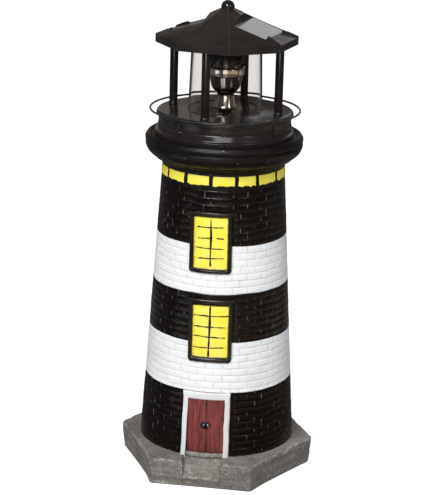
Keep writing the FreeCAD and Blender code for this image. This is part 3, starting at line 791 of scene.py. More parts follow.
@dataclass(frozen=True)
class Moulding:
    """Injection moulded plastic with faint grain, flow patches and scuffs."""

    name: str
    colour: Colour
    patch: Colour
    roughness: float
    grain: float
    shine: float = 0.5

    def material(self) -> Material:
        """Plastic whose colour and gloss drift a little, over a moulded grain.

        Returns:
            The finish.
        """
        w = Wiring(self.name)
        w.colour(w.blend(w.between(w.noise(22.0, 4.0), 0.36, 0.7), self.colour, self.patch))
        scuffs = w.noise(9.0, 5.0, 0.65, w.stretched((1.0, 1.0, 2.5)))
        w.roughness(w.between(scuffs, 0.32, 0.72, (self.roughness * 0.85, self.roughness * 1.25)))
        w.fixed(Specular_IOR_Level=self.shine)
        w.bump(w.noise(0.55, 2.0), self.grain, 0.5)
        return w.material


@dataclass(frozen=True)
class DrumPlastic:
    """Gallery plastic: glossy black above, browner on its side, with two seams darkened by painted shade."""

    name: str
    colour: Colour
    side: Colour
    seam: Colour
    roughness: float
    side_level: float

    def material(self) -> Material:
        """Black above the side's level and brown below it, in patches, with painted shade in the seams.

        Returns:
            The finish.
        """
        w = Wiring(self.name)
        below = w.between(w.axes()["Z"], mm(self.side_level + 1.5), mm(self.side_level))
        brown = w.times(below, w.between(w.noise(18.0, 4.0, 0.6), 0.3, 0.7, (0.35, 1.0)))
        base = w.blend(brown, self.colour, self.side)
        w.colour(w.blend(w.layer("seam"), base, self.seam))
        scuffs = w.noise(9.0, 5.0, 0.65, w.stretched((1.0, 1.0, 2.5)))
        gloss = w.between(scuffs, 0.32, 0.72, (self.roughness * 0.85, self.roughness * 1.25))
        w.roughness(w.plus(gloss, w.times(below, 0.04)))
        w.bump(w.noise(0.55, 2.0), 0.02, 0.4)
        return w.material


@dataclass(frozen=True)
class Metal:
    """Bare or plated metal."""

    name: str
    colour: Colour
    roughness: float
    wave: float

    def material(self) -> Material:
        """Full metal with a slight waviness and rubbed patches.

        Returns:
            The finish.
        """
        w = Wiring(self.name)
        dull = tuple(c * 0.86 for c in self.colour)
        w.colour(w.blend(w.between(w.noise(5.0, 4.0), 0.4, 0.75), self.colour, dull))
        w.roughness(w.between(w.noise(2.5, 4.0), 0.3, 0.75, (self.roughness * 0.7, self.roughness * 1.6)))
        w.fixed(Metallic=1.0)
        w.bump(w.noise(4.0, 2.0), self.wave, 0.6)
        return w.material


@dataclass(frozen=True)
class ClearSleeve:
    """Clear moulded plastic of the chimney."""

    name: str
    tint: Colour
    see_through: float

    def material(self) -> Material:
        """Thin clear plastic: mostly open, with gloss and a few faint moulding streaks.

        Returns:
            The finish.
        """
        w = Wiring(self.name)
        w.fixed(Transmission_Weight=1.0, IOR=1.12, Roughness=0.02, Specular_IOR_Level=0.9)
        w.colour(w.blend(w.between(w.noise(30.0, 2.0, 0.5, w.stretched((1.0, 1.0, 0.1))), 0.4, 0.7),
                         self.tint, tuple(c * self.see_through for c in self.tint)))
        w.bump(w.noise(14.0, 1.0, 0.4, w.stretched((1.0, 1.0, 0.2))), 0.05, 0.3)
        return w.material


@dataclass(frozen=True)
class CellGlass:
    """Solar cell laminate: dark cells, fine silver fingers, glossy cover greyed by a dusty film and painted
    sheen.
    """

    name: str
    colour: Colour
    finger: Colour
    dust_and_sheen: Colour

    def material(self) -> Material:
        """Fingers and cell gaps from two wave patterns square to each other, under a coat.

        Returns:
            The finish.
        """
        w = Wiring(self.name)
        across = w.axes(w.stretched((1.0, 1.0, 1.0), -LANTERN_TURN))
        fingers = self.lines(w, across["Y"], 1.4, 0.9)
        gaps = self.lines(w, across["X"], 8.4, 0.965)
        base = w.blend(w.times(w.calc("MAXIMUM", fingers, gaps), 0.5), self.colour, self.finger)
        # A pale film greys the dark cells: a dusty cover and painted sheen together.
        w.colour(w.blend(w.between(w.noise(9.0, 4.0), 0.3, 0.8, (0.12, 0.35)), base, self.dust_and_sheen))
        w.roughness(w.between(w.noise(6.0, 4.0), 0.3, 0.7, (0.16, 0.30)))
        w.fixed(Coat_Weight=1.0, Coat_Roughness=0.12, Coat_IOR=1.5)
        w.bump(w.noise(5.0, 2.0), 0.04, 0.5)
        return w.material

    @staticmethod
    def lines(w: Wiring, along: Socket, pitch: float, edge: float) -> Socket:
        """Thin lines every pitch millimetres: the fraction of the place is above the edge."""
        place = w.calc("FRACT", w.times(along, 1.0 / mm(pitch)), 0.0)
        return w.between(place, edge, min(edge + 0.02, 0.999))


# On black paint the pale joint colour is a painted highlight: the glint of light on joint edges.
BLACK_BRICK = BrickPaint(
    "black_brick_paint", colour=(0.0013, 0.0006, 0.0004), patch=(0.0034, 0.0018, 0.0013),
    joint=(0.24, 0.22, 0.19), roughness=0.24, upright_tint_and_glint=0.72, level_tint_and_glint=0.05, gaps=(0.50, 0.68),
    shine=0.26)
WHITE_BRICK = BrickPaint(
    "white_brick_paint", colour=(0.80, 0.815, 0.83), patch=(0.74, 0.75, 0.77), joint=(0.44, 0.435, 0.43),
    roughness=0.5, upright_tint_and_glint=0.70, level_tint_and_glint=0.38, gaps=(0.30, 0.62), shine=0.5)
BLACK_TRIM = Moulding("black_trim_paint", (0.0030, 0.0018, 0.0015), (0.008, 0.0050, 0.0038), 0.24,
                      grain=0.12, shine=0.45)
# The collar's pale speck colour is a painted highlight: glints of light on its rough grain.
COLLAR_BLACK = SpeckledPaint("collar_paint", (0.0017, 0.0012, 0.0011), (0.0044, 0.0034, 0.0031),
                             (0.45, 0.43, 0.40), 0.36)
WHITE_TRIM = Moulding("white_trim_paint", (0.72, 0.715, 0.71), (0.64, 0.635, 0.635), 0.5, grain=0.12)
STONE = Stone("plinth_stone", (0.190, 0.178, 0.160), (0.112, 0.104, 0.094), (0.46, 0.44, 0.40),
              (0.165, 0.142, 0.116))
# Its third colour is painted shade, for the leaves' creases and rim.
DOOR_RED = DoorPaint("door_red_paint", (0.105, 0.019, 0.017), (0.285, 0.045, 0.042), (0.014, 0.006, 0.005))
# The last two colours darken the pane's rim: frame paint, and painted shade on its left side.
YELLOW = WindowGlaze("window_yellow", (0.84, 0.73, 0.045), (0.87, 0.78, 0.13), (0.74, 0.58, 0.30),
                     (0.42, 0.37, 0.004), (0.030, 0.026, 0.002))
SATIN_BLACK = Moulding("satin_black_plastic", (0.010, 0.009, 0.009), (0.015, 0.0135, 0.013), 0.26, grain=0.03)
# Its third colour is near-black painted shade for the side's seams.
DRUM_BLACK = DrumPlastic("drum_black_plastic", (0.0085, 0.0080, 0.0085), (0.014, 0.0105, 0.0095),
                         (0.001, 0.001, 0.001), 0.16, 270.4)
ROOF_BLACK = Moulding("roof_black_plastic", (0.0056, 0.0045, 0.0045), (0.0145, 0.0118, 0.01), 0.32,
                      grain=0.06)
# The ribs are a lighter black than the roof: a painted highlight along the hips.
RIB_HIGHLIGHT_BLACK = Moulding("roof_rib_highlight_plastic", (0.017, 0.015, 0.0145), (0.032, 0.028, 0.026), 0.26, grain=0.02)
GLOSS_BLACK = Moulding("gloss_black_plastic", (0.006, 0.005, 0.005), (0.010, 0.008, 0.008), 0.10, grain=0.01)
POST_BLACK = Moulding("post_black_plastic", (0.006, 0.0042, 0.0042), (0.011, 0.0065, 0.006), 0.18, grain=0.02)
WIRE_BLACK = Moulding("black_wire_paint", (0.008, 0.0075, 0.0075), (0.018, 0.015, 0.013), 0.28, grain=0.04)
CHROME = Metal("bright_plating", (0.82, 0.79, 0.73), 0.11, wave=0.06)
DARK_PLATING = Metal("pedestal_black_plating", (0.58, 0.52, 0.46), 0.13, wave=0.05)
MIRROR = Metal("mirror_slip", (0.92, 0.92, 0.92), 0.03, wave=0.0)
STEEL = Metal("bright_steel", (0.56, 0.55, 0.53), 0.28, wave=0.01)
BRASS = Metal("bush_brass", (0.73, 0.54, 0.26), 0.24, wave=0.01)
DARK_BUSH = Metal("oiled_bush_brass", (0.09, 0.07, 0.045), 0.3, wave=0.01)
KNOB_SILVER = Metal("door_knob_silver", (0.75, 0.75, 0.73), 0.3, wave=0.05)
CLEAR = ClearSleeve("clear_chimney", (0.945, 0.930, 0.916), 0.985)
CELL = CellGlass("solar_cell_glass", (0.022, 0.026, 0.040), (0.30, 0.30, 0.30), (0.21, 0.20, 0.185))
GEAR_WHITE = Moulding("gear_white", (0.70, 0.69, 0.64), (0.62, 0.61, 0.57), 0.42, grain=0.03)
BOARD_GREEN = Moulding("board_green", (0.03, 0.15, 0.06), (0.02, 0.10, 0.045), 0.35, grain=0.04)
CELL_SLEEVE = Moulding("cell_green_sleeve", (0.06, 0.24, 0.13), (0.05, 0.19, 0.11), 0.25, grain=0.01)
SWITCH_BLACK = Moulding("switch_black", (0.018, 0.018, 0.018), (0.028, 0.027, 0.026), 0.5, grain=0.05)
LEAD_RED = Moulding("lead_red_sheath", (0.22, 0.015, 0.013), (0.16, 0.012, 0.011), 0.4, grain=0.02)
LAMP_CLEAR = Moulding("lamp_epoxy", (0.80, 0.79, 0.70), (0.72, 0.71, 0.62), 0.1, grain=0.0)


# ---- tower ----
@dataclass
class Opening:
    """A painted window or door field on the shaft: no brick shows under it."""

    middle: float
    half: float
    low: float
    high: float

    def covers(self, x: Array, y: Array, z: Array) -> Array:
        """Where the field lies, with an edge half a millimetre wide.

        Args:
            x, y, z: places on the cone.

        Returns:
            1 on the field and 0 away from it.
        """
        inside = 1.0 - smoothstep(self.half - 0.5, self.half, np.abs(x - self.middle))
        level = smoothstep(self.low, self.low + 0.5, z) * (1.0 - smoothstep(self.high - 0.5, self.high, z))
        return inside * level * (y < 0)


@dataclass
class Taper:
    """The cone of the shaft, in millimetres."""

    foot_radius: float = 58.7
    foot: float = 21.0
    neck_radius: float = 45.7
    neck: float = 233.0
    wall: float = 7.2

    def radius(self, height: Array | float) -> Array | float:
        """Outer radius at a height: a straight line from foot to neck."""
        share = (height - self.foot) / (self.neck - self.foot)
        return self.foot_radius + share * (self.neck_radius - self.foot_radius)

    def wrap(self, x: Array, z: Array, lift: Array | float) -> Array:
        """Front-view points (x, z) laid on the cone's front, lifted off it.

        Args:
            x, z: the points, in front view.
            lift: how far off the cone.

        Returns:
            The points in space.
        """
        x, z, lift = np.broadcast_arrays(x, z, lift)
        reach = self.radius(z) + lift
        return np.stack([x, -np.sqrt(reach**2 - x**2), z], axis=-1)


@dataclass
class BrickShaft:
    """The shaft in running bond, in five painted bands that share one relief.

    Attributes:
        bricks: bricks in one ring.
        course: height of one course.
        datum: height of a course line.
        first_joint: bearing of an upright joint in the course above the datum.
        groove: depth of a joint.
    """

    taper: Taper
    openings: list[Opening]
    bricks: int = 27
    course: float = 5.15
    datum: float = 155.73
    first_joint: float = 5.65
    groove: float = 0.42
    joint_half: tuple[float, float] = (0.10, 0.46)
    column_share: tuple[float, ...] = (0, 0.032, 0.062, 0.10, 0.24, 0.5, 0.76, 0.90, 0.938, 0.968)
    row_share: tuple[float, ...] = (0, 0.034, 0.068, 0.11, 0.26, 0.5, 0.74, 0.89, 0.932, 0.966)
    foot: float = 19.6
    top: float = 222.7

    def grid_lines(self) -> tuple[Array, Array]:
        """Where the columns and rows of the grid lie, close together at joints.

        Returns:
            Cell coordinates of the columns and course coordinates of the rows.
        """
        cells = (np.arange(2 * self.bricks)[:, None] + np.array(self.column_share)[None]).ravel()
        low = math.floor((self.foot - self.datum) / self.course)
        high = round((self.top - self.datum) / self.course)
        rows = (np.arange(low, high)[:, None] + np.array(self.row_share)[None]).ravel()
        rows = np.append(rows[rows * self.course + self.datum > self.foot], high)
        return cells, rows

    def surface(self, cells: Array, rows: Array) -> tuple[Array, Array, Array]:
        """Brick relief over the cone.

        Every other course is shifted by half a brick.  A joint's depth falls off
        with the distance to the nearest course line or upright joint.  Each brick
        stands a little high or low, is slightly crowned, and its joints wander.

        Args:
            cells, rows: as from grid_lines().

        Returns:
            The grid of points, and the share of level and of upright joint at each.
        """
        cell, row = np.meshgrid(cells, rows)
        number = np.floor(row + 1e-6)
        within = np.clip(row - number, 0.0, 1.0)
        shifted = (cell - number % 2) / 2.0
        brick = np.floor(shifted + 1e-6)
        along = shifted - brick
        height = self.datum + row * self.course
        width = 2 * math.pi * self.taper.radius(height) / self.bricks
        level_gap = np.minimum(within, 1.0 - within) * self.course
        upright_gap = np.minimum(along, 1.0 - along) * width
        flat = ring_place(self.taper.radius(height), cell * 180.0 / self.bricks, height)
        near, far = self.joint_half
        level, upright = 1.0 - smoothstep(near, far, level_gap), 1.0 - smoothstep(near, far, upright_gap)
        joint = np.maximum(level, upright)
        uneven = 0.75 + 0.35 * lumps(flat, 9.0, 5, 2)
        crown = smoothstep(0.2, 2.2, level_gap) * smoothstep(0.2, 3.0, upright_gap)
        stand = 0.09 * scattered(brick % self.bricks, number, seed=3)
        tilt = 0.10 * (along - 0.5) * scattered(brick % self.bricks, number, seed=4)
        swell = 0.10 * lumps(flat, 26.0, 6, 3) + 0.05 * lumps(flat, 3.5, 7, 2)
        lift = stand + tilt + 0.10 * crown + swell - 0.12 - self.groove * joint * uneven
        nearest = np.round(shifted) % self.bricks
        wander = 0.38 * scattered(nearest, number, seed=8) * (1.0 - smoothstep(0.5, 3.6, upright_gap))
        wander *= smoothstep(0.0, 0.6, level_gap)
        sway = 0.45 * lumps(flat, 24.0, 9, 2)
        hidden = np.zeros_like(lift)
        for opening in self.openings:
            hidden = np.maximum(hidden, opening.covers(flat[..., 0], flat[..., 1], flat[..., 2]))
        lift = lift * (1 - hidden) - 0.9 * hidden
        inside = smoothstep(0, 6, height - self.foot) * smoothstep(0, 3, self.top - height)
        height = height + sway * inside
        radius = self.taper.radius(height)
        bearing = self.first_joint + cell * 180.0 / self.bricks + np.degrees(wander / radius)
        return ring_place(radius + lift, bearing, height), level, upright * (1 - level)

    def build(self, band_edges: list[float], finishes: list[BrickPaint]) -> None:
        """One closed ring for each painted band, between rows at the given heights.

        Args:
            band_edges: the heights, upwards.
            finishes: one for each band, upwards.
        """
        cells, rows = self.grid_lines()
        skin, *joints = self.surface(cells, rows)
        heights = self.datum + rows * self.course
        cuts = [0] + [int(np.abs(heights - edge).argmin()) for edge in band_edges] + [len(rows) - 1]
        for k, (first, last) in enumerate(zip(cuts[:-1], cuts[1:])):
            outer = skin[first:last + 1]
            inner_ends = [outer[-1], outer[0]]
            back = np.array([self.back_of(ring) for ring in inner_ends])
            grid = np.concatenate([outer, back])
            level, upright = (np.concatenate([j[first:last + 1], np.zeros((2, len(cells)))]) for j in joints)
            finish = finishes[k]
            piece = cast_piece(f"shaft_band_{k + 1}")
            piece.add(grid, True, level=level, upright=upright).make(finish.material(), 80.0)

    def back_of(self, ring: Array) -> Array:
        """The cavity's wall behind a ring of the skin, at the ring's mean height.

        Args:
            ring: one row of the skin.

        Returns:
            The ring behind it.
        """
        height = ring[:, 2].mean()
        bearing = np.degrees(np.arctan2(ring[:, 0], -ring[:, 1]))
        return ring_place(self.taper.radius(height) - self.taper.wall, bearing, height)


@dataclass
class Collar:
    """Neck, cavetto, ovolo and lip above the bricks, with the lantern's socket inside."""

    taper: Taper
    bottom: float = 222.7
    columns: int = 432

    def build(self) -> None:
        """A turned ring, a little uneven as hand-finished casting is."""
        neck = self.taper.radius(self.bottom)
        outline = softened([
            (neck - self.taper.wall, self.bottom), (neck - 0.1, self.bottom), (45.95, 229.0), (45.7, 233.0),
            (46.0, 235.2), (47.2, 237.3), (50.2, 238.6), (51.4, 238.8), (51.6, 239.8), (54.6, 241.6),
            (56.9, 244.0), (58.3, 246.8), (58.8, 249.6), (57.9, 250.3), (57.9, 250.9), (58.9, 252.2),
            (58.9, 253.9), (57.4, 256.4), (56.0, 257.2), (54.6, 256.4), (54.0, 255.0), (40.5, 255.0),
            (40.5, 229.0), (36.5, 229.0), (self.taper.radius(225) - self.taper.wall, 225.0)], 0.6, 3)
        grid = lathe(outline, self.columns)
        wobble = 0.10 * lumps(grid, 20.0, 21, 3) + 0.04 * lumps(grid, 4.0, 22, 2)
        outer = (np.hypot(grid[..., 0], grid[..., 1]) > 44.5)[..., None] * (grid[..., 2:] > 224.0)
        grid = grid + outward(grid) * (wobble - 0.08)[..., None] * outer * self.sign(grid)
        cast_piece("tower_collar").add(grid, True).make(COLLAR_BLACK.material(), 60.0)

    @staticmethod
    def sign(grid: Array) -> float:
        """Finds out which way outward() points on a grid.

        Args:
            grid: a closed ring round the axis.

        Returns:
            1 if it points out of the ring, and -1 if it points in.
        """
        normal = outward(grid)
        away = (grid - grid.mean((0, 1)))[..., :2]
        widest = np.unravel_index(np.argmax(np.linalg.norm(away, axis=-1)), away.shape[:2])
        return 1.0 if np.dot(normal[widest][:2], away[widest]) > 0 else -1.0


@dataclass
class GalleryLights:
    """Yellow lights painted round the neck, each a thin ragged patch.

    Attributes:
        seen: start and end bearings of those in the front, each its own width.
        pitch: bearing from one to the next elsewhere, about.
        gap: bearing left free between two.
    """

    taper: Taper
    low: float = 226.2
    high: float = 233.3
    pitch: float = 24.0
    gap: float = 3.6
    seen: tuple[tuple[float, float], ...] = (
        (-79.0, -54.6), (-50.9, -29.4), (-25.4, -4.0), (-0.3, 19.8), (23.2, 40.3), (44.0, 65.4), (68.8, 88.0))

    def spans(self) -> list[tuple[float, float]]:
        """All patches: those seen, and the rest at the pitch with a small random error.

        Returns:
            Start and end bearing of each.
        """
        rest = []
        start = self.seen[-1][1] + self.gap
        count = int((360.0 + self.seen[0][0] - start) // self.pitch) + 1
        pitch = (360.0 + self.seen[0][0] - start) / count
        for k in range(count):
            error = 0.7 * float(scattered(np.array(k), seed=31))
            rest.append((start + k * pitch + error, start + (k + 1) * pitch - self.gap))
        return list(self.seen) + rest

    def build(self) -> None:
        """A shallow cushion of paint for each light, all in one piece."""
        piece = cast_piece("gallery_lights")
        for k, (start, end) in enumerate(self.spans()):
            piece.add(self.patch(start, end, k))
        piece.make(YELLOW.material(), 60.0)

    def patch(self, start: float, end: float, seed: int) -> Array:
        """Rows run up the patch, columns across its front and back again behind it.

        The foot's height and both sides wander with noise; the face is lifted
        most in the middle, and dips into the neck at its rim.

        Args:
            start, end: bearings of its sides.
            seed: which noise.

        Returns:
            The closed grid.
        """
        across, up = np.meshgrid(np.linspace(0, 1, 49), np.linspace(0, 1, 17))
        key = noise_places(across * 20.0 + seed * 31, up * 3.0, 3.3)
        teeth = 0.45 * lumps(key, 3.0, 41, 3)
        side = noise_places(up * 7.0 + seed * 17, np.round(across) * 9.0, 7.7)
        lean = 0.35 * lumps(side, 2.5, 42, 2)
        bearing = start + (end - start) * across + lean
        height = self.low + (self.high - self.low) * up + teeth * (1 - up)
        rim = np.minimum(np.minimum(across, 1 - across) * 18.0, np.minimum(up, 1 - up) * 8.0)
        lift = 0.30 * smoothstep(0, 0.5, rim) - 0.06 + 0.03 * lumps(key, 4.0, 43, 2)
        neck = np.where(height > 233.0, 45.72, np.minimum(self.taper.radius(height), 46.2))
        face = ring_place(neck + lift, bearing, height)
        return cushion(face, ring_place(neck - 0.9, bearing, height))


def rounded_frame(half: Array, low: Array, high: Array, corner: Array, steps: int = 7) -> tuple[Array, Array]:
    """Rounded rectangles, one for each entry of the arrays, walked in step with each other.

    Each corner is a quarter circle; between corners the walk goes straight in
    twenty steps, so that the sides can follow the shaft's curve.

    Args:
        half: half width of each.
        low, high: levels of its foot and head.
        corner: radius of its corners.
        steps: points in a quarter circle.

    Returns:
        x and z, each walk x entries.
    """
    turns = np.linspace(0, math.pi / 2, steps)[:, None]
    arcs_x, arcs_z = [], []
    for k, (sx, sz) in enumerate(((1, -1), (1, 1), (-1, 1), (-1, -1))):
        angle = turns + (k - 1) * math.pi / 2
        arcs_x.append(sx * (half - corner) + corner * np.cos(angle))
        arcs_z.append(np.where(sz > 0, high - corner, low + corner) + corner * np.sin(angle))
    share = np.linspace(0, 1, 21)[1:-1, None]
    xs, zs = [], []
    for k in range(4):
        after = (k + 1) % 4
        xs += [arcs_x[k], arcs_x[k][-1] * (1 - share) + arcs_x[after][0] * share]
        zs += [arcs_z[k], arcs_z[k][-1] * (1 - share) + arcs_z[after][0] * share]
    return np.concatenate(xs), np.concatenate(zs)


@dataclass
class PaintedWindow:
    """A tall window: raised black frame and lintel, yellow pane, brushed glazing bars.

    Attributes:
        low, high, half: the frame's foot, head and half width.
        border: width of its sides.
        pane: half width, foot and head of the yellow field.
        middle: x of the window's middle at its foot and head.
        bars: for each cross bar, its share of the pane's height from the top, and
            the shares of the pane's width where it starts and ends.
        mullion: x at the top and foot of the middle bar, and its end shares.
    """

    name: str
    taper: Taper
    low: float
    high: float
    half: float
    border: float
    pane: tuple[float, float, float]
    middle: tuple[float, float]
    bars: tuple[tuple[float, float, float], ...]
    mullion: tuple[float, float, float, float]
    seed: int

    def build(self) -> None:
        """Frame, lintel, pane and bars."""
        self.frame()
        self.lintel()
        self.glass()
        self.strokes()

    def place(self, x: Array, z: Array, lift: Array | float) -> Array:
        """Window coordinates laid on the shaft; the middle leans from foot to head."""
        foot, head = self.middle
        return self.taper.wrap(x + foot + (head - foot) * (z - self.low) / (self.high - self.low), z, lift)

    def frame(self) -> None:
        """Profile carried round the rounded outline; it is drawn in and lifts off the cone."""
        wide = self.border
        profile = softened([(0.0, TRIM_BACK), (0.0, 1.1), (0.5, 1.55), (wide - 0.9, 1.5),
                            (wide, 0.5), (wide, TRIM_BACK)], 0.35, 3)
        draw, lift = profile[:, 0], profile[:, 1]
        _, pane_low, pane_high = self.pane
        x, z = rounded_frame(self.half - draw, self.low + draw / wide * (pane_low - self.low),
                             self.high - draw / wide * (self.high - pane_high),
                             np.maximum(2.4 - draw * 0.4, 0.9))
        flat = noise_places(x, z, self.seed)
        wander = 0.18 * lumps(flat, 9.0, 51, 2)
        grid = self.place(x + wander, z + wander[::-1], lift[None] + 0.10 * lumps(flat, 5.0, 52, 2))
        cast_piece(self.name + "_frame").add(grid, True).make(BLACK_TRIM.material(), 70.0)

    def lintel(self) -> None:
        """Lintel over the head: a short bar with a rounded nose."""
        piece = cast_piece(self.name + "_lintel")
        piece.add(ledge_grid(self.taper, self.high - 2.4, self.high + 0.2, self.half + 2.0, 2.5, self.seed,
                             self.middle[1]))
        piece.make(BLACK_TRIM.material(), 70.0)

    def glass(self) -> None:
        """The pane: a sunk, slightly uneven field; its rim layer also carries painted shade down its left
        side.
        """
        half, low, high = self.pane
        x, z = np.meshgrid(np.linspace(-1, 1, 61), np.linspace(0, 1, 81))
        px, pz = x * (half + 0.3), low - 0.3 + z * (high - low + 0.6)
        rim = np.minimum(np.minimum(px + half, half - px), np.minimum(pz - low, high - pz))
        # Painted shade: the pane darkens towards its left side, as in the frame's shadow.
        left = np.exp(-np.maximum(px + half, 0.0) / 1.5)
        edge = np.clip(1.0 - rim / 0.9, 0, 1) + 0.85 * left
        beige = np.clip(1.0 - (pz - low) / 2.2, 0, 1) * (px > -half + 2.5)
        flat = noise_places(px, pz, 9.0 * self.seed)
        face = self.place(px, pz, 0.25 + 0.07 * lumps(flat, 7.0, 61, 3) + 0.12 * np.clip(edge, 0, 1))
        grid = cushion(face, self.place(px, pz, -1.6))
        piece = cast_piece(self.name + "_pane")
        piece.add(grid, edge=over_cushion(edge, edge), beige=over_cushion(beige, beige))
        piece.make(YELLOW.material(), 60.0)

    def strokes(self) -> None:
        """Glazing bars put on with a brush: thin, uneven and not quite straight."""
        half, low, high = self.pane
        tall = high - low
        piece = cast_piece(self.name + "_bars")
        top_x, foot_x, top_share, foot_share = self.mullion
        ends = np.array([[top_x, high - top_share * tall], [foot_x, high - foot_share * tall]])
        piece.add(self.stroke(ends, 1.6, 0))
        for k, (down, start, end) in enumerate(self.bars):
            level = high - down * tall
            droop = 0.3 * float(scattered(np.array(k + self.seed), seed=71))
            left, right = -half + start * 2 * half, -half + end * 2 * half
            piece.add(self.stroke(np.array([[left, level + droop], [right, level - droop]]), 1.0, k + 1))
        piece.make(BLACK_TRIM.material(), 70.0)

    def stroke(self, ends: Array, width: float, seed: int) -> Array:
        """A brushed line between two front-view points, thinner at its ends.

        Args:
            ends: the two points, as (x, z).
            width: its breadth.
            seed: which noise.

        Returns:
            The closed grid.
        """
        share = np.linspace(0, 1, 40)
        along = ends[1] - ends[0]
        square = np.array([-along[1], along[0]]) / np.linalg.norm(along)
        key = noise_places(share * 6.0 + 13.0 * seed, self.seed, 0.0)
        middle = ends[0] + share[:, None] * along + square * (0.20 * lumps(key, 2.0, 72, 2))[:, None]
        breadth = width * (0.8 + 0.35 * lumps(key, 1.0, 73, 2)) * smoothstep(0, 0.04, share)
        breadth = breadth * smoothstep(0, 0.04, 1 - share) + 0.08
        angle = np.linspace(0, 2 * math.pi, 12, endpoint=False)
        x = middle[:, :1] + square[0] * breadth[:, None] / 2 * np.cos(angle)
        z = middle[:, 1:] + square[1] * breadth[:, None] / 2 * np.cos(angle)
        return with_ends(self.place(x, z, 0.34 + 0.22 * np.sin(angle)[None]))


def ledge_grid(taper: Taper, low: float, high: float, half: float, proud: float, seed: int,
               middle: float) -> Array:
    """A bar across the front of the cone: a rounded section carried along x, closed at its ends.

    Args:
        taper: the cone.
        low, high: levels of its foot and head.
        half: half its length.
        proud: how far it stands off the cone.
        seed: which noise.
        middle: x of its middle.

    Returns:
        The closed grid.
    """
    section = softened([(TRIM_BACK, low), (proud * 0.8, low), (proud, (low + high) / 2),
                        (proud * 0.75, high), (TRIM_BACK, high)], 0.9, 3)
    x = np.linspace(-half, half, 61)[:, None]
    lift, z = section[None, :, 0], section[None, :, 1]
    flat = noise_places(x, z, seed)
    fade = 1 - 0.35 * smoothstep(half - 1.2, half, np.abs(x))
    level = z + 0.18 * lumps(flat, 10.0, 81, 2)
    return with_ends(taper.wrap(x + middle, level, lift * fade + 0.06 * lumps(flat, 4.0, 82, 2)))


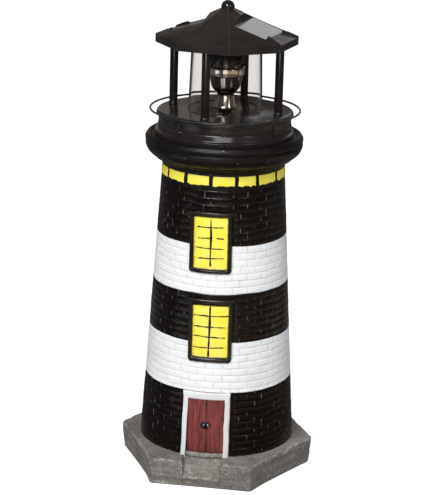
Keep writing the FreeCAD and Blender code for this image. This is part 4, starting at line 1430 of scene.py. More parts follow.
@dataclass
class Doorway:
    """White frame with a header, two worn red leaves, a doorstep, a black boss and two knobs.

    Attributes:
        frame_half, frame_middle: half width and middle at the foot and head.
        leaf_half, leaf_middle: the same for the red field.
    """

    taper: Taper
    foot: float = 17.5
    head: float = 70.6
    frame_half: tuple[float, float] = (18.0, 17.4)
    frame_middle: tuple[float, float] = (0.35, 0.75)
    border: float = 3.7
    leaf_foot: float = 22.4
    leaf_head: float = 65.6
    leaf_half: tuple[float, float] = (13.7, 14.4)
    leaf_middle: tuple[float, float] = (1.45, 0.95)
    boss: tuple[float, float] = (1.2, 45.5)

    def build(self) -> None:
        """Frame, leaves, step, boss and knobs."""
        self.frame()
        self.leaves()
        self.step()
        self.hardware()

    def lean(self, ends: tuple[float, float], z: Array) -> Array:
        """A value that goes straight from the door's foot to its head."""
        return ends[0] + (ends[1] - ends[0]) * (z - self.foot) / (self.head - self.foot)

    def frame(self) -> None:
        """Profile carried up one side, over the head and down the other.

        The header is higher than the sides are wide, and the top corners spread
        a little, as thick brushed paint does.
        """
        up = np.linspace(0, 1, 44)
        over = np.linspace(-1, 1, 35)[1:-1]
        cx = np.concatenate([-np.ones_like(up), over, np.ones_like(up)])
        cz = np.concatenate([up, np.ones_like(over), up[::-1]])
        profile = softened([(0.0, TRIM_BACK), (0.0, 1.2), (0.5, 1.6), (self.border - 0.5, 1.6),
                            (self.border, 1.1), (self.border, TRIM_BACK)], 0.35, 3)
        draw, lift = profile[None, :, 0], profile[None, :, 1]
        deep = (self.head - self.leaf_head + 0.3) / self.border
        z = self.foot + cz[:, None] * (self.head - draw * deep - self.foot)
        half = self.lean(self.frame_half, z) + 0.5 * smoothstep(66.5, 69.0, z)
        x = self.lean(self.frame_middle, z) + cx[:, None] * (half - draw)
        flat = noise_places(x, z, 0.0)
        wander = 0.28 * lumps(flat, 11.0, 91, 3)
        grid = with_ends(self.taper.wrap(x + wander, z, lift + 0.07 * lumps(flat, 5.0, 92, 2)))
        cast_piece("door_frame").add(grid).make(WHITE_TRIM.material(), 70.0)
        corners = cast_piece("door_corner_paint")
        for side in (-1, 1):
            at = self.lean(self.frame_middle, self.head) + side * (self.frame_half[1] + 0.9)
            corners.add(self.dab(at, self.head - 1.0, (1.6, 1.5), 1.35, side + 2))
        corners.make(BLACK_TRIM.material(), 80.0)

    def leaves(self) -> None:
        """Two leaves in one field: upright grain ridges, a seam in the middle and shallow board lines."""
        u, z = np.meshgrid(np.linspace(-1, 1, 161), np.linspace(self.leaf_foot, self.leaf_head, 100))
        half = self.lean(self.leaf_half, z) + 0.35
        x = self.lean(self.leaf_middle, z) + u * half
        flat = noise_places(x, z * 0.12, 2.0)
        grain = 0.10 * lumps(flat, 2.2, 101, 3)
        seam = 1 - smoothstep(0.12, 0.55, np.abs(u * half - 0.2 - 0.12 * lumps(flat, 9.0, 102, 1)))
        boards = np.zeros_like(x)
        for place in (-9.4, -4.7, 4.6, 9.4):
            boards = np.maximum(boards, 1 - smoothstep(0.05, 0.4, np.abs(u * half - place)))
        side = half - np.abs(u * half)
        rim = np.minimum(side, self.leaf_head - z)
        # Painted shade: the edge layer darkens the leaves next to the frame's sides and head, above the step,
        # and in the seam and board lines.
        worn = np.exp(-np.maximum(side, 0) / 1.3) + np.exp(-np.maximum(z - self.leaf_foot - 1.5, 0) / 2.2)
        edge = np.clip(1 - rim / 0.9, 0, 1) + 0.95 * seam + 0.3 * boards + 0.6 * worn
        lift = 0.65 + grain - 0.55 * seam - 0.14 * boards
        face = self.taper.wrap(x, z, lift)
        grid = cushion(face, self.taper.wrap(x, z, -1.5))
        piece = cast_piece("door_leaves")
        piece.add(grid, edge=over_cushion(edge, edge * 0)).make(DOOR_RED.material(), 70.0)

    def step(self) -> None:
        """Stone doorstep between the frame's sides."""
        piece = cast_piece("door_step")
        piece.add(ledge_grid(self.taper, 20.5, 23.9, 14.6, 1.6, 5, self.leaf_middle[0] - 0.3), edge=0.8)
        piece.make(STONE.material(), 70.0)

    def dab(self, x: float, z: float, size: tuple[float, float], thick: float, seed: int) -> Array:
        """A low ragged cushion of paint round a front-view point.

        Args:
            x, z: the point.
            size: half its width and half its height.
            thick: how far its middle stands off the cone.
            seed: which noise.

        Returns:
            The closed grid.
        """
        rings, turns = np.meshgrid(np.linspace(0, 1, 10), np.linspace(0, 2 * math.pi, 60, endpoint=False),
                                   indexing="ij")
        key = noise_places(np.cos(turns) * 3, np.sin(turns) * 3, 5.0 * seed)
        ragged = 1 + 0.20 * lumps(key, 1.3, 111, 3)
        px, pz = x + size[0] * rings * ragged * np.cos(turns), z + size[1] * rings * ragged * np.sin(turns)
        dome = self.taper.wrap(px, pz, thick * (0.45 + 0.55 * np.sqrt(1 - 0.98 * rings**2)))
        return with_ends(np.concatenate([dome, self.taper.wrap(px[-1:], pz[-1:], -0.5)])[1:])

    def hardware(self) -> None:
        """A low ragged boss of black paint, and a knob on each leaf that shows as a thin crescent."""
        x, z = self.boss
        boss = cast_piece("door_boss")
        boss.add(self.dab(x, z, (3.7, 3.1), 1.2, 1)).make(BLACK_TRIM.material(), 80.0)
        knobs = cast_piece("door_knobs")
        along = np.linspace(-1, 1, 25)
        for middle, drop, bow in ((-1.1, 0.2, -0.75), (1.15, -0.3, 0.75)):
            level = z + drop + 1.6 * along
            place = x + middle + bow * (1 - along**2)
            path = self.taper.wrap(place, level, 1.25 + 0.25 * (1 - along**2))
            thick = 0.46 * np.sqrt(np.maximum(1 - along**2, 0.02))
            tube = tube_along(path, 1.0, 12)
            knobs.add(with_ends(path[:, None] + (tube - path[:, None]) * thick[:, None, None]))
        knobs.make(KNOB_SILVER.material(), 80.0)


@dataclass
class Plinth:
    """Rough six-sided slab with a ramp cut into its front edge before the door."""

    half_width: float = 75.0
    half_depth: float = 71.0
    edge_half: float = 37.5
    height: float = 21.0
    draft: float = 2.0
    under_tower: float = 57.3
    cavity: float = 52.9
    notch: float = 14.5
    notch_wall: float = 0.25
    ramp_top: float = -57.0
    ramp_low: float = 8.3

    def plan(self) -> tuple[Array, Array]:
        """Outer points and matching inner bearings, column by column, from the front's middle.

        Both run in straight steps between the same stations, so the ramp's walls
        lie between two columns.  The other half is the mirror image.

        Returns:
            Both, one row for each column.
        """
        wall = self.notch + self.notch_wall
        stations = [((0, -self.half_depth), 0.0, 36),
                    ((self.notch, -self.half_depth), self.inner_bearing(self.notch), 3),
                    ((wall, -self.half_depth), self.inner_bearing(wall), 40),
                    ((self.edge_half, -self.half_depth), 33.0, 110),
                    ((self.half_width, 0.0), 90.0, 110),
                    ((self.edge_half, self.half_depth), 147.0, 56),
                    ((0.0, self.half_depth), 180.0, 0)]
        outer, bearing = [], []
        for (start, b0, steps), (end, b1, _) in zip(stations[:-1], stations[1:]):
            share = np.arange(steps)[:, None] / steps
            outer.append(np.array(start) * (1 - share) + np.array(end) * share)
            bearing.append(b0 + (b1 - b0) * share[:, 0])
        right, turn = np.concatenate(outer), np.concatenate(bearing)
        left, back = right[1:][::-1] * [-1, 1], -turn[1:][::-1]
        last = np.array([[0.0, self.half_depth]])
        return np.concatenate([right, last, left]), np.concatenate([turn, [180.0], back])

    def inner_bearing(self, x: float) -> float:
        """Bearing of the tower's foot at an x in front."""
        return math.degrees(math.asin(x / self.under_tower))

    def rounded_plan(self, outer: Array) -> Array:
        """Plan with its corners worn: a running mean over neighbouring columns."""
        return sum(np.roll(outer, k, axis=0) for k in range(-2, 3)) / 5.0

    def build(self) -> None:
        """Closed ring: under side, flank, eased edge, top, and the wall of the cavity."""
        outer, bearing = self.plan()
        outer = self.rounded_plan(outer)
        for corner, push in ((-self.edge_half, -1.9), (self.edge_half, 1.3)):
            near = np.exp(-((outer[:, 0] - corner) ** 2 + (outer[:, 1] + self.half_depth) ** 2) / 160.0)
            outer[:, 0] += push * near
        size = np.linalg.norm(outer, axis=1, keepdims=True)
        in_notch = (np.abs(outer[:, 0]) < self.notch + 0.05) & (outer[:, 1] < -60)
        top = np.where(in_notch, self.ramp_low, self.height)
        ease = np.where(in_notch, 0.8, 1.3)

        def at(inset: Array | float, level: Array | float) -> Array:
            """Outline drawn in by an inset, at a level."""
            inset, level = np.broadcast_to(inset, top.shape), np.broadcast_to(level, top.shape)
            return np.column_stack([outer * (1 - inset[:, None] / size), level])

        flat = ring_place(self.under_tower, bearing, self.height)
        along = np.clip((self.ramp_top - outer[:, 1]) / (flat[:, 1] - outer[:, 1] + 1e-9), 0.05, 0.95)
        halfway = np.where(in_notch, along, 0.5)[:, None]
        landing = at(0.0, self.height) * (1 - halfway) + flat * halfway
        landing[:, 2] = np.where(in_notch, 20.6, self.height)
        stretches = [
            (ring_place(self.cavity, bearing, 0.0), 8), (at(self.draft + 0.9, 0.0), 3),
            (at(self.draft, 1.0), 26), (at(0.2, top - ease), 2), (at(0.35, top - 0.3 * ease), 3),
            (at(ease, top), 22), (landing, 12), (flat, 1),
            (ring_place(self.under_tower, bearing, self.height - 1.5), 2),
            (ring_place(self.cavity + 0.3, bearing, self.height - 4.0), 6)]
        rows, edge = [], []
        for k, (start, count) in enumerate(stretches):
            end = stretches[(k + 1) % len(stretches)][0]
            share = np.arange(count)[:, None, None] / count
            rows.append(start[None] * (1 - share) + end[None] * share)
            edge.append(np.full((count, len(outer)), 1.0 if k in (3, 4) else 0.0))
        grid, edge = np.concatenate(rows), np.concatenate(edge)
        edge = sum(np.roll(edge, k, axis=0) for k in range(-2, 3)) / 3.0
        grid = self.weathered(grid, edge)
        cast_piece("plinth_slab").add(grid, True, edge=np.clip(edge, 0, 1)).make(STONE.material(), 70.0)

    def weathered(self, grid: Array, edge: Array) -> Array:
        """Grid pushed along its normals by coarse and fine noise, and chipped along its edges.

        Only the flank and top move, always inwards on the whole, and the left
        front corner is worn most.

        Args:
            grid: the ring as drawn.
            edge: 1 on its upper edge and 0 away from it.

        Returns:
            The worn ring.
        """
        normal = outward(grid) * Collar.sign(grid)
        out = np.hypot(grid[..., 0], grid[..., 1])
        free = smoothstep(57.6, 60.0, out) * smoothstep(0.3, 2.0, grid[..., 2])
        rough = 0.42 * lumps(grid, 14.0, 121, 4) + 0.16 * lumps(grid, 2.6, 122, 3) - 0.35
        chips = -1.3 * smoothstep(0.25, 0.75, lumps(grid, 8.0, 123, 3)) * edge
        corner = np.exp(-((grid[..., 0] + 40.0) ** 2 + (grid[..., 1] + 70.0) ** 2) / 180.0)
        low = np.exp(-grid[..., 2] / 8.0)
        step = (rough + chips - 2.6 * corner * low) * free
        return grid + normal * step[..., None]


@dataclass
class Tower:
    """The whole casting: plinth, shaft, collar, openings and painted lights."""

    def build(self) -> None:
        """Builds its parts from one taper."""
        taper = Taper()
        upper = PaintedWindow(
            "window_upper", taper, low=161.4, high=207.0, half=15.8, border=3.0, pane=(12.95, 164.3, 203.1),
            middle=(-0.2, -1.0), mullion=(0.5, 0.4, 0.02, 0.95), seed=1,
            bars=((0.19, 0.10, 0.89), (0.40, 0.125, 0.57), (0.40, 0.67, 0.89), (0.594, 0.07, 0.90),
                  (0.784, 0.125, 0.905)))
        lower = PaintedWindow(
            "window_lower", taper, low=94.1, high=141.8, half=16.2, border=2.7, pane=(13.7, 97.7, 137.1),
            middle=(1.5, 1.3), mullion=(0.0, -0.45, 0.0, 1.0), seed=2,
            bars=((0.198, 0.0, 1.0), (0.41, 0.04, 0.93), (0.604, 0.05, 0.93), (0.808, 0.03, 0.91)))
        door = Doorway(taper)
        openings = [Opening(middle=-0.6, half=14.4, low=163.0, high=205.5),
                    Opening(middle=1.4, half=14.9, low=95.7, high=140.2),
                    Opening(middle=0.6, half=16.3, low=10.0, high=69.0)]
        BrickShaft(taper, openings).build(
            [70.3, 108.9, 145.4, 181.6], [BLACK_BRICK, WHITE_BRICK, BLACK_BRICK, WHITE_BRICK, BLACK_BRICK])
        Collar(taper).build()
        GalleryLights(taper).build()
        upper.build()
        lower.build()
        door.build()
        Plinth().build()


# ---- lantern ----
@dataclass
class Gallery:
    """Drum with deck and rim, and the wire hoop on its legs.

    Attributes:
        panel: bearings of the two seams beside the sunk part of the side.
        latch, first_leg: bearings of the latch and of the first of four legs.
        wire, leg_wire: radii of the hoop's wire and the legs' wire.
    """

    deck: float = 274.0
    rim: float = 50.85
    side: float = 49.65
    flange: float = 51.65
    seat: float = 255.0
    base_edge: float = 49.1
    wall: float = 2.0
    panel: tuple[float, float] = (-20.5, 66.5)
    panel_levels: tuple[float, float] = (260.4, 269.2)
    latch: float = 20.0
    hoop: float = 55.5
    hoop_level: float = 274.3
    wire: float = 0.75
    leg_wire: float = 0.6
    leg_drop: float = 3.4
    first_leg: float = -22.0

    def build(self) -> None:
        """Drum, latch and hoop."""
        self.drum()
        self.hoop_and_legs()

    def drum(self) -> None:
        """Turned shell whose side is sunk a little between the two front legs."""
        deck, wall, side = self.deck, self.wall, self.side
        outline = softened([
            (3.0, deck), (27.6, deck), (27.65, deck + 0.45), (27.8, deck + 0.58), (28.35, deck + 0.58),
            (28.55, deck + 0.45), (28.7, deck), (48.2, deck), (49.5, deck - 0.25), (50.4, deck - 1.0),
            (self.rim, deck - 2.3), (self.rim, deck - 3.6), (self.rim - 0.6, deck - 4.1), (side, deck - 4.4),
            (side, 268.9), (side - 0.4, 268.5), (side - 0.4, 263.7), (side, 263.3), (side, 259.9),
            (side + 0.4, 259.4), (self.flange, 258.9), (self.flange, 257.2), (self.flange, self.seat),
            (self.base_edge, self.seat), (self.base_edge, 258.6), (side - wall, 259.3),
            (side - wall, deck - wall), (3.0, deck - wall)], 0.35, 3)
        grid = lathe(outline, 480)
        bearing = np.degrees(np.arctan2(grid[..., 0], -grid[..., 1]))
        low, high = self.panel_levels
        outer = np.hypot(grid[..., 0], grid[..., 1]) > side - 0.9
        sunk = smoothstep(self.panel[0], self.panel[0] + 0.8, bearing)
        sunk = sunk * (1 - smoothstep(self.panel[1] - 0.8, self.panel[1], bearing))
        sunk = sunk * ((grid[..., 2] > low) & (grid[..., 2] < high) & outer)
        seams = sum(np.exp(-((bearing - at) / 0.9) ** 2) for at in self.panel)
        seams = seams * ((grid[..., 2] > 259.2) & (grid[..., 2] < 270.0) & outer)
        scale = 1 - (0.9 * sunk + 0.7 * seams) / np.maximum(np.hypot(grid[..., 0], grid[..., 1]), 1.0)
        grid[..., :2] *= scale[..., None]
        piece = Piece("gallery_drum_shell", Body.LANTERN, "satin_black", ("gallery_drum",))
        # The seam layer also darkens the seams in the finish: painted shade in the grooves.
        piece.add(on_lantern(grid), True, seam=seams).make(DRUM_BLACK.material(), 32.0)
        latch = Piece("drum_latch", Body.LANTERN, "satin_black")
        for half, low, high, proud in ((6.5, 266.6, 267.1, 0.5), (0.55, 264.6, 266.7, 0.65)):
            spread = np.linspace(-half, half, 25)[:, None] / side * RADIAN + self.latch
            section = softened([(-0.8, low), (proud, low), (proud, high), (-0.8, high)], 0.15, 2)
            bar = ring_place(side - 1.1 + section[:, 0][None], spread, section[:, 1][None])
            latch.add(with_ends(on_lantern(bar)))
        latch.make(SATIN_BLACK.material(), 40.0)

    def hoop_and_legs(self) -> None:
        """Ring and four legs: each leg drops from the ring, bends and runs into the drum."""
        piece = Piece("gallery_hoop_wire", Body.LANTERN, "black_wire", ("gallery_hoop",))
        angle = np.linspace(0, 2 * math.pi, 14, endpoint=False)
        section = np.column_stack([self.hoop + self.wire * np.cos(angle),
                                   self.hoop_level + self.wire * np.sin(angle)])
        piece.add(lathe(section, 240), True)
        low = self.hoop_level - self.leg_drop
        bend = 1.6
        quarter = np.linspace(0, math.pi / 2, 9)
        reach = [self.hoop, self.hoop, *(self.hoop - bend + bend * np.cos(quarter)[1:]), 48.6]
        level = [self.hoop_level, low + bend, *(low + bend - bend * np.sin(quarter)[1:]), low]
        for k in range(4):
            path = ring_place(np.array(reach), self.first_leg + 90.0 * k, np.array(level))
            piece.add(with_ends(on_lantern(tube_along(path, self.leg_wire, 12))))
        piece.make(WIRE_BLACK.material(), 60.0)


@dataclass
class LampRoom:
    """Chimney and the four posts round it."""

    floor: float = 274.0
    ceiling: float = 324.1
    foot_radius: float = 27.45
    top_radius: float = 25.95
    wall: float = 1.4
    post_circle: float = 41.5
    post_radius: float = 3.1

    def build(self) -> None:
        """Chimney and posts."""
        low, high, wall = self.floor, self.ceiling, self.wall
        outline = softened([
            (self.foot_radius + 0.4, low), (self.foot_radius + 0.4, low + 1.5), (self.foot_radius, low + 2.0),
            (self.top_radius, high), (self.top_radius - wall, high), (self.foot_radius - wall, low + 2.0),
            (self.foot_radius - wall, low)], 0.3, 3)
        chimney = Piece("chimney_sleeve", Body.LANTERN, "clear_plastic", ("lens_chimney",))
        chimney.add(lathe(outline, 256), True).make(CLEAR.material(), 40.0)
        for name, bearing in (("front", 0), ("right", 90), ("back", 180), ("left", 270)):
            self.post(name, bearing)

    def post(self, name: str, bearing: float) -> None:
        """A plain round post with a small foot ring and pins at both ends.

        Args:
            name: its side.
            bearing: where it stands.
        """
        r, low, high = self.post_radius, self.floor, self.ceiling
        outline = softened([
            (1.3, low - 7.0), (2.0, low - 7.0), (2.0, low), (r + 0.25, low), (r + 0.25, low + 0.9),
            (r, low + 1.4), (r, high), (2.0, high), (2.0, high + 3.0), (1.3, high + 3.0)], 0.2, 2)
        at = ring_place(self.post_circle, bearing, 0.0)
        piece = Piece(f"post_{name}_turned", Body.LANTERN, "black_post", (f"lantern_post_{name}",))
        piece.add(on_lantern(lathe(outline, 40) + at), True).make(POST_BLACK.material(), 40.0)


@dataclass
class Roof:
    """Roof shell, panels, ball, underplate and lamp."""

    apex: float = 350.1
    ball: float = 4.98
    holder_foot: float = 310.6
    shade_foot: float = 308.6
    shade_radius: float = 13.25
    rib: float = 0.42
    eave_reach: float = 52.5

    def build(self) -> None:
        """Broken-edged copies of the flat-faced nodes, and turned pieces for the round ones."""
        shell = Piece("roof_shell_moulding", Body.LANTERN, "satin_black", ("roof_shell",))
        bevelled_copy(shell, ROOF_BLACK.material(), 0.25, 9.0)
        for side in ("right", "left"):
            node = f"solar_panel_{side}"
            laminate = Piece(f"{node}_laminate", Body.LANTERN, "cell_glass", (node,))
            bevelled_copy(laminate, CELL.material(), 0.2)
        plate = Piece("roof_underplate_moulding", Body.LANTERN, "satin_black", ("roof_underplate",))
        bevelled_copy(plate, SATIN_BLACK.material(), 0.15, 9.0)
        self.ribs()
        share = np.linspace(0, math.pi, 40)
        sphere = np.column_stack([self.ball * np.sin(share), self.apex - self.ball * np.cos(share)])
        stem = np.array([(0.0, 343.3), (1.5, 343.3), (1.5, self.apex - 4.6)])
        ball = Piece("finial_ball_turned", Body.LANTERN, "gloss_black", ("finial_ball",))
        ball.add(lathe(np.concatenate([stem, sphere[3:]]), 96)).make(GLOSS_BLACK.material(), 50.0)
        self.lamp()

    def ribs(self) -> None:
        """Fine ribs along the hips and down the eave's corners, left out where a panel bay cuts the hip."""
        piece = Piece("roof_hip_ribs", Body.LANTERN, "satin_black")
        top, eave, foot = 351.0, 329.3, 323.6
        for k in range(8):
            bearing = 45.0 * k + 22.5
            beside_bay = abs(math.sin(math.radians(bearing))) > 0.7
            for start, end in ([(4.6, 11.0), (43.5, 52.3)] if beside_bay else [(4.6, 52.3)]):
                reach = np.linspace(start, end, 24)
                path = ring_place(reach, bearing, top - reach * (top - eave) / self.eave_reach - 0.12)
                piece.add(with_ends(on_lantern(tube_along(path, self.rib, 10))))
            path = ring_place(self.eave_reach - 0.35, bearing, np.linspace(foot, eave - 0.1, 6))
            piece.add(with_ends(on_lantern(tube_along(path, self.rib, 10))))
        # Their lighter black than the roof is a painted highlight along the hips.
        piece.make(RIB_HIGHLIGHT_BLACK.material(), 50.0)

    def lamp(self) -> None:
        """Wide glossy shade with the lamp's stem inside, and the clear lamp in that."""
        low, foot, wide = self.holder_foot, self.shade_foot, self.shade_radius
        outline = softened([
            (2.55, low), (4.2, low), (4.6, low + 0.4), (5.55, 321.5), (wide - 1.6, 322.3),
            (wide - 1.2, 321.6), (wide - 1.25, foot + 0.2), (wide - 0.9, foot), (wide - 0.2, foot),
            (wide, foot + 0.3),
            (wide - 0.2, 323.6), (wide - 0.7, 324.1), (3.95, 324.1), (3.95, 328.3), (2.55, 328.3)], 0.25, 3)
        holder = Piece("lamp_holder_turned", Body.LANTERN, "satin_black", ("lamp_holder",))
        holder.add(lathe(outline, 128), True).make(GLOSS_BLACK.material(), 40.0)
        share = np.linspace(0, math.pi / 2, 10)
        dome = np.column_stack([2.5 * np.sin(share), 308.7 - 2.5 * np.cos(share)])
        shank = [(2.5, 309.8), (2.9, 309.8), (2.9, 310.55), (2.5, 310.55), (2.5, 317.0), (0.0, 317.0)]
        lamp = Piece("led_lamp_moulded", Body.LANTERN, "lamp_epoxy", ("led_lamp",))
        lamp.add(lathe(np.concatenate([dome, shank]), 48)).make(LAMP_CLEAR.material(), 40.0)


@dataclass
class Beacon:
    """Glossy foot, bright bowl with a beam window at the back, and its mirror slip."""

    window_half: float = 6.5
    window_low: float = 292.5
    window_high: float = 299.2

    def build(self) -> None:
        """Foot, bowl and mirror."""
        foot = softened([
            (1.52, 275.2), (8.4, 275.2), (8.7, 275.6), (8.7, 276.2), (8.2, 276.9), (6.2, 284.5), (6.4, 286.2),
            (8.8, 286.9), (1.52, 286.9)], 0.4, 4)
        piece = Piece("beacon_foot", Body.BEACON, "gloss_black", ("beacon_pedestal",))
        piece.add(lathe(foot, 96), True).make(DARK_PLATING.material(), 40.0)
        self.bowl()
        mirror = Piece("beam_mirror_slip", Body.BEACON, "mirror", ("beam_mirror",))
        bevelled_copy(mirror, MIRROR.material(), 0.08)

    def bowl(self) -> None:
        """Three rings of one wall: whole below and above the window, open at the back between."""
        outside = softened([(5.6, 286.9), (8.6, 288.0), (10.3, 290.2), (11.0, 292.4), (12.6, 299.4),
                            (13.6, 300.0), (13.9, 305.4), (13.4, 306.0), (12.5, 306.0)], 0.5, closed=False)
        inside = softened([(12.5, 306.0), (12.2, 300.6), (11.6, 299.6), (10.0, 292.2), (7.6, 289.6),
                           (4.6, 288.6)], 0.4, closed=False)
        piece = Piece("reflector_goblet", Body.BEACON, "bright_plating", ("reflector_bowl",))
        window = math.degrees(math.asin(self.window_half / 11.6))
        levels = (286.9, self.window_low, self.window_high, 306.0)
        for k, (low, high) in enumerate(zip(levels[:-1], levels[1:])):
            section = np.concatenate([self.between(outside, low, high), self.between(inside, low, high)])
            if k == 0:
                section = np.concatenate([section, [(1.55, 288.6), (1.55, 286.9)]])
            if k == 1:
                bearing = np.linspace(180 + window, 540 - window, 161)[:, None]
                ring = ring_place(section[:, 0][None], bearing, section[:, 1][None])
                piece.add(with_ends(on_lantern(ring)))
            else:
                piece.add(on_lantern(lathe(section, 180)), True)
        piece.make(CHROME.material(), 35.0)

    @staticmethod
    def between(line: Array, low: float, high: float) -> Array:
        """The stretch of an outline between two levels, with points set exactly at both.

        Args:
            line: (radius, level) pairs, going up or down.
            low, high: the two levels.

        Returns:
            The stretch, in the line's own order.
        """
        upward = line[-1, 1] > line[0, 1]
        level = line[:, 1] if upward else line[::-1, 1]
        radius = line[:, 0] if upward else line[::-1, 0]
        first, last = max(low, level[0]), min(high, level[-1])
        inner = (level > first) & (level < last)
        ends = np.interp([first, last], level, radius)
        made = np.column_stack([np.concatenate([[ends[0]], radius[inner], [ends[1]]]),
                                np.concatenate([[first], level[inner], [last]])])
        return made if upward else made[::-1]


@dataclass
class InnerWorks:
    """Nodes whose own shape is right and which get a finish: gears, motor, cell, board and fixings."""

    def build(self) -> None:
        """Puts a finish on every node that still shows."""
        finishes = {
            SATIN_BLACK: ("lantern_base", "battery_door"),
            STEEL: ("door_hinge_pin", "contact_plus", "contact_minus", "motor_shaft", "drive_motor",
                    "idler_axle", "beacon_shaft", "base_screws", "plate_screws", "roof_screws"),
            BRASS: ("motor_pinion", "shaft_lower_bush"),
            DARK_BUSH: ("shaft_deck_bush",),
            GEAR_WHITE: ("drive_gear", "idler_gear", "gear_plate"),
            BOARD_GREEN: ("circuit_board",),
            CELL_SLEEVE: ("battery_cell",),
            SWITCH_BLACK: ("switch_body", "switch_knob"),
            LEAD_RED: ("panel_lead",),
        }
        for finish, names in finishes.items():
            material = finish.material()
            for name in names:
                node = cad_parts[name]
                node.data.materials.clear()
                node.data.materials.append(material)
                LOG.info("%-24s keeps its own shape, in %s", name, finish.name)


# ---- studio ----
@dataclass(frozen=True)
class Lamp:
    """A rectangular lamp that faces a point over the tower's foot.

    Attributes:
        bearing, lift, distance: where it stands, seen from that point, in degrees and metres.
        width, height: its size in metres.
        power: in watts.
        aim: the point's height in metres.
    """

    name: str
    bearing: float
    lift: float
    distance: float
    width: float
    height: float
    power: float
    aim: float = 0.2

    def build(self) -> None:
        """Places the lamp and turns its face to the point."""
        data = bpy.data.lights.new(self.name, "AREA")
        data.shape = "RECTANGLE"
        data.size, data.size_y = self.width, self.height
        data.energy = self.power
        rise = math.radians(self.lift)
        away = ring_place(self.distance * math.cos(rise), self.bearing, self.distance * math.sin(rise))
        lamp = bpy.data.objects.new(self.name, data)
        lamp.visible_camera = False
        lamp.location = away + np.array([0.0, 0.0, self.aim])
        lamp.rotation_euler = (math.atan2(np.hypot(away[0], away[1]), away[2]), 0,
                               math.atan2(away[1], away[0]) + math.pi / 2)
        bpy.context.scene.collection.objects.link(lamp)


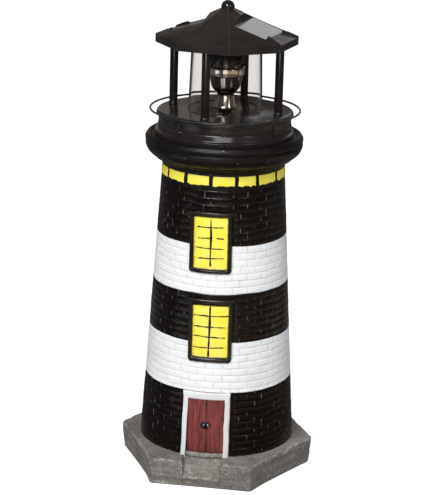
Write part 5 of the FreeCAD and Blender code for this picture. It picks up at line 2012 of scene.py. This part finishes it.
@dataclass
class Studio:
    """Floor, light and the camera that sees the ornament as the photograph does.

    The camera's place is in millimetres from the tower's axis and the ground.
    """

    bearing: float = 9.0
    distance: float = 1423.0
    height: float = 577.5
    pitch: float = 16.08
    yaw: float = -0.165
    roll: float = 1.55
    focal_pixels: float = 1960.0
    image: tuple[int, int] = (435, 495)
    middle_shift: tuple[float, float] = (-1.6, -0.4)

    def build(self) -> None:
        """Camera, floor, world and lamps."""
        self.camera()
        self.floor()
        self.world()
        self.lamps()
        bpy.context.scene.view_settings.view_transform = "Standard"

    def camera(self) -> None:
        """Camera axes from bearing, yaw, pitch and roll; the lens from the focal length in pixels."""
        data = bpy.data.cameras.new("camera")
        data.sensor_width = 36.0
        data.lens = self.focal_pixels / max(self.image) * data.sensor_width
        data.shift_x = -self.middle_shift[0] / max(self.image)
        data.shift_y = self.middle_shift[1] / max(self.image)
        yaw, pitch, roll = (math.radians(v) for v in (self.yaw, self.pitch, self.roll))
        ahead = np.array([math.sin(yaw) * math.cos(pitch), math.cos(yaw) * math.cos(pitch), -math.sin(pitch)])
        right = np.array([math.cos(yaw), -math.sin(yaw), 0.0])
        up = np.cross(right, ahead)
        leaned = math.cos(roll) * right + math.sin(roll) * up
        upright = -math.sin(roll) * right + math.cos(roll) * up
        axes = turned_about_z(np.array([leaned, upright, -ahead]), self.bearing)
        place = mm(ring_place(self.distance, self.bearing, self.height))
        made = bpy.data.objects.new("camera", data)
        matrix = np.eye(4)
        matrix[:3, :3] = axes.T
        matrix[:3, 3] = place
        made.matrix_world = Matrix(matrix.tolist())
        bpy.context.scene.collection.objects.link(made)
        bpy.context.scene.camera = made

    def floor(self) -> None:
        """Wide pale floor that shows white to the camera and keeps the shadow."""
        reach = 6.0
        mesh = bpy.data.meshes.new("floor")
        mesh.from_pydata([(-reach, -reach, 0), (reach, -reach, 0), (reach, reach, 0), (-reach, reach, 0)], [],
                         [(0, 1, 2, 3)])
        made = bpy.data.objects.new("floor", mesh)
        bpy.context.scene.collection.objects.link(made)
        mesh.materials.append(self.floor_paper())

    @classmethod
    def floor_paper(cls) -> Material:
        """Matt white paper: white to camera and glass, and dark with a few pale sheets to gloss.

        Returns:
            The finish.
        """
        white, pale, dim, warm = (1.0, 1.0, 1.0), (0.42, 0.42, 0.42), (0.03, 0.03, 0.03), (1.0, 0.78, 0.56)
        seen_glow, room_glow = 0.84, 0.04
        w = Wiring("floor_paper")
        w.tree.nodes.remove(w.shader)
        rays = w.node("LightPath").outputs
        paper = w.node("BsdfDiffuse")
        w.link(w.blend(rays["Is Glossy Ray"], pale, dim), paper.inputs["Color"])
        glow = w.node("Emission")
        glossy = w.calc("GREATER_THAN", rays["Glossy Depth"], 0.5)
        straight = w.calc("LESS_THAN", w.plus(rays["Glossy Depth"], rays["Diffuse Depth"]), 0.5)
        sheets, tan = cls.sheets(w)
        w.link(w.blend(w.times(glossy, tan), white, warm), glow.inputs["Color"])
        shine = w.times(glossy, w.plus(sheets, room_glow))
        w.link(w.plus(w.times(straight, seen_glow), shine), glow.inputs["Strength"])
        both = w.node("AddShader")
        w.link(paper.outputs["BSDF"], both.inputs[0])
        w.link(glow.outputs["Emission"], both.inputs[1])
        w.link(both.outputs["Shader"], w.tree.nodes["Material Output"].inputs["Surface"])
        return w.material

    @staticmethod
    def sheets(w: Wiring) -> tuple[Socket, Socket]:
        """Sheets on the floor that only the plating mirrors.

        They lie in a near and a far ring round the ornament, whose reach is worked
        out so that the black brickwork mirrors the floor between them.

        Args:
            w: the floor's wiring.

        Returns:
            Their brightness, and how tan they are, each over the floor.
        """
        place = w.axes()
        x, y = place["X"], place["Y"]
        reach = w.calc("SQRT", w.plus(w.times(x, x), w.times(y, y)), 0.0)
        turn = w.times(w.calc("ARCTAN2", x, w.times(y, -1.0)), RADIAN)

        def band(value: Socket, middle: float, half: float, soft: float) -> Socket:
            """1 within half of a middle, and 0 beyond a soft edge."""
            away = w.calc("ABSOLUTE", w.calc("SUBTRACT", value, middle), 0.0)
            return w.between(away, half + soft, half)

        near, far = band(reach, 0.435, 0.085, 0.02), band(reach, 1.0, 0.12, 0.06)
        rings = w.plus(near, w.times(far, 0.45))
        white = w.plus(band(turn, -50.0, 9.0, 6.0), band(turn, 0.0, 12.0, 8.0))
        tan = band(turn, 60.0, 52.0, 14.0)
        bright = w.plus(w.times(white, 2.6), w.times(tan, 0.95))
        return w.times(rings, w.plus(bright, 0.15)), tan

    @staticmethod
    def world() -> None:
        """White to camera and glass; to gloss a dim room, greyer behind, with warm patches."""
        world = bpy.data.worlds.new("studio")
        world.use_nodes = True
        bpy.context.scene.world = world
        n = Nodes(world.node_tree, "Generated")
        background = n.tree.nodes["Background"].inputs
        rays = n.node("LightPath").outputs
        n.link(n.blend(rays["Is Glossy Ray"], (1.0, 1.0, 1.0), (1.0, 0.90, 0.80)), background["Color"])
        front_to_back = n.between(n.axes()["Y"], -0.2, 0.7, (0.07, 0.17))
        patches = n.between(n.noise(ROOM_PATCH, 2.0, 0.5), 0.42, 0.62, (0.25, 2.4))
        straight = n.calc("LESS_THAN", n.plus(rays["Glossy Depth"], rays["Diffuse Depth"]), 0.5)
        soft = n.times(n.calc("GREATER_THAN", rays["Diffuse Depth"], 0.5), 0.42)
        mirrored = n.times(n.calc("GREATER_THAN", rays["Glossy Depth"], 0.5),
                           n.calc("LESS_THAN", rays["Diffuse Depth"], 0.5))
        gloss = n.times(mirrored, n.times(front_to_back, patches))
        n.link(n.plus(n.plus(straight, gloss), soft), background["Strength"])

    @staticmethod
    def lamps() -> None:
        """Soft key, a low strip by the camera, a side lamp, and a window behind for deck and panels."""
        for lamp in (
                Lamp("key", bearing=-14.0, lift=42.0, distance=1.5, width=0.55, height=0.55, power=18.4),
                Lamp("strip", bearing=6.0, lift=14.5, distance=1.4, width=0.70, height=0.16, power=2.5),
                Lamp("side", bearing=52.0, lift=26.0, distance=1.5, width=0.35, height=0.35, power=2.6),
                Lamp("window_behind", bearing=176.0, lift=25.0, distance=1.8, width=0.55, height=0.55,
                     power=0.62)):
            lamp.build()


def main() -> None:
    """Builds every sub-assembly in order, logging each one's name and each piece's face count."""
    logging.basicConfig(level=logging.INFO, format="%(message)s")
    for assembly in (Tower(), Gallery(), LampRoom(), Roof(), Beacon(), InnerWorks(), Studio()):
        LOG.info("-- %s", type(assembly).__name__)
        assembly.build()


if __name__ == "__main__":
    main()
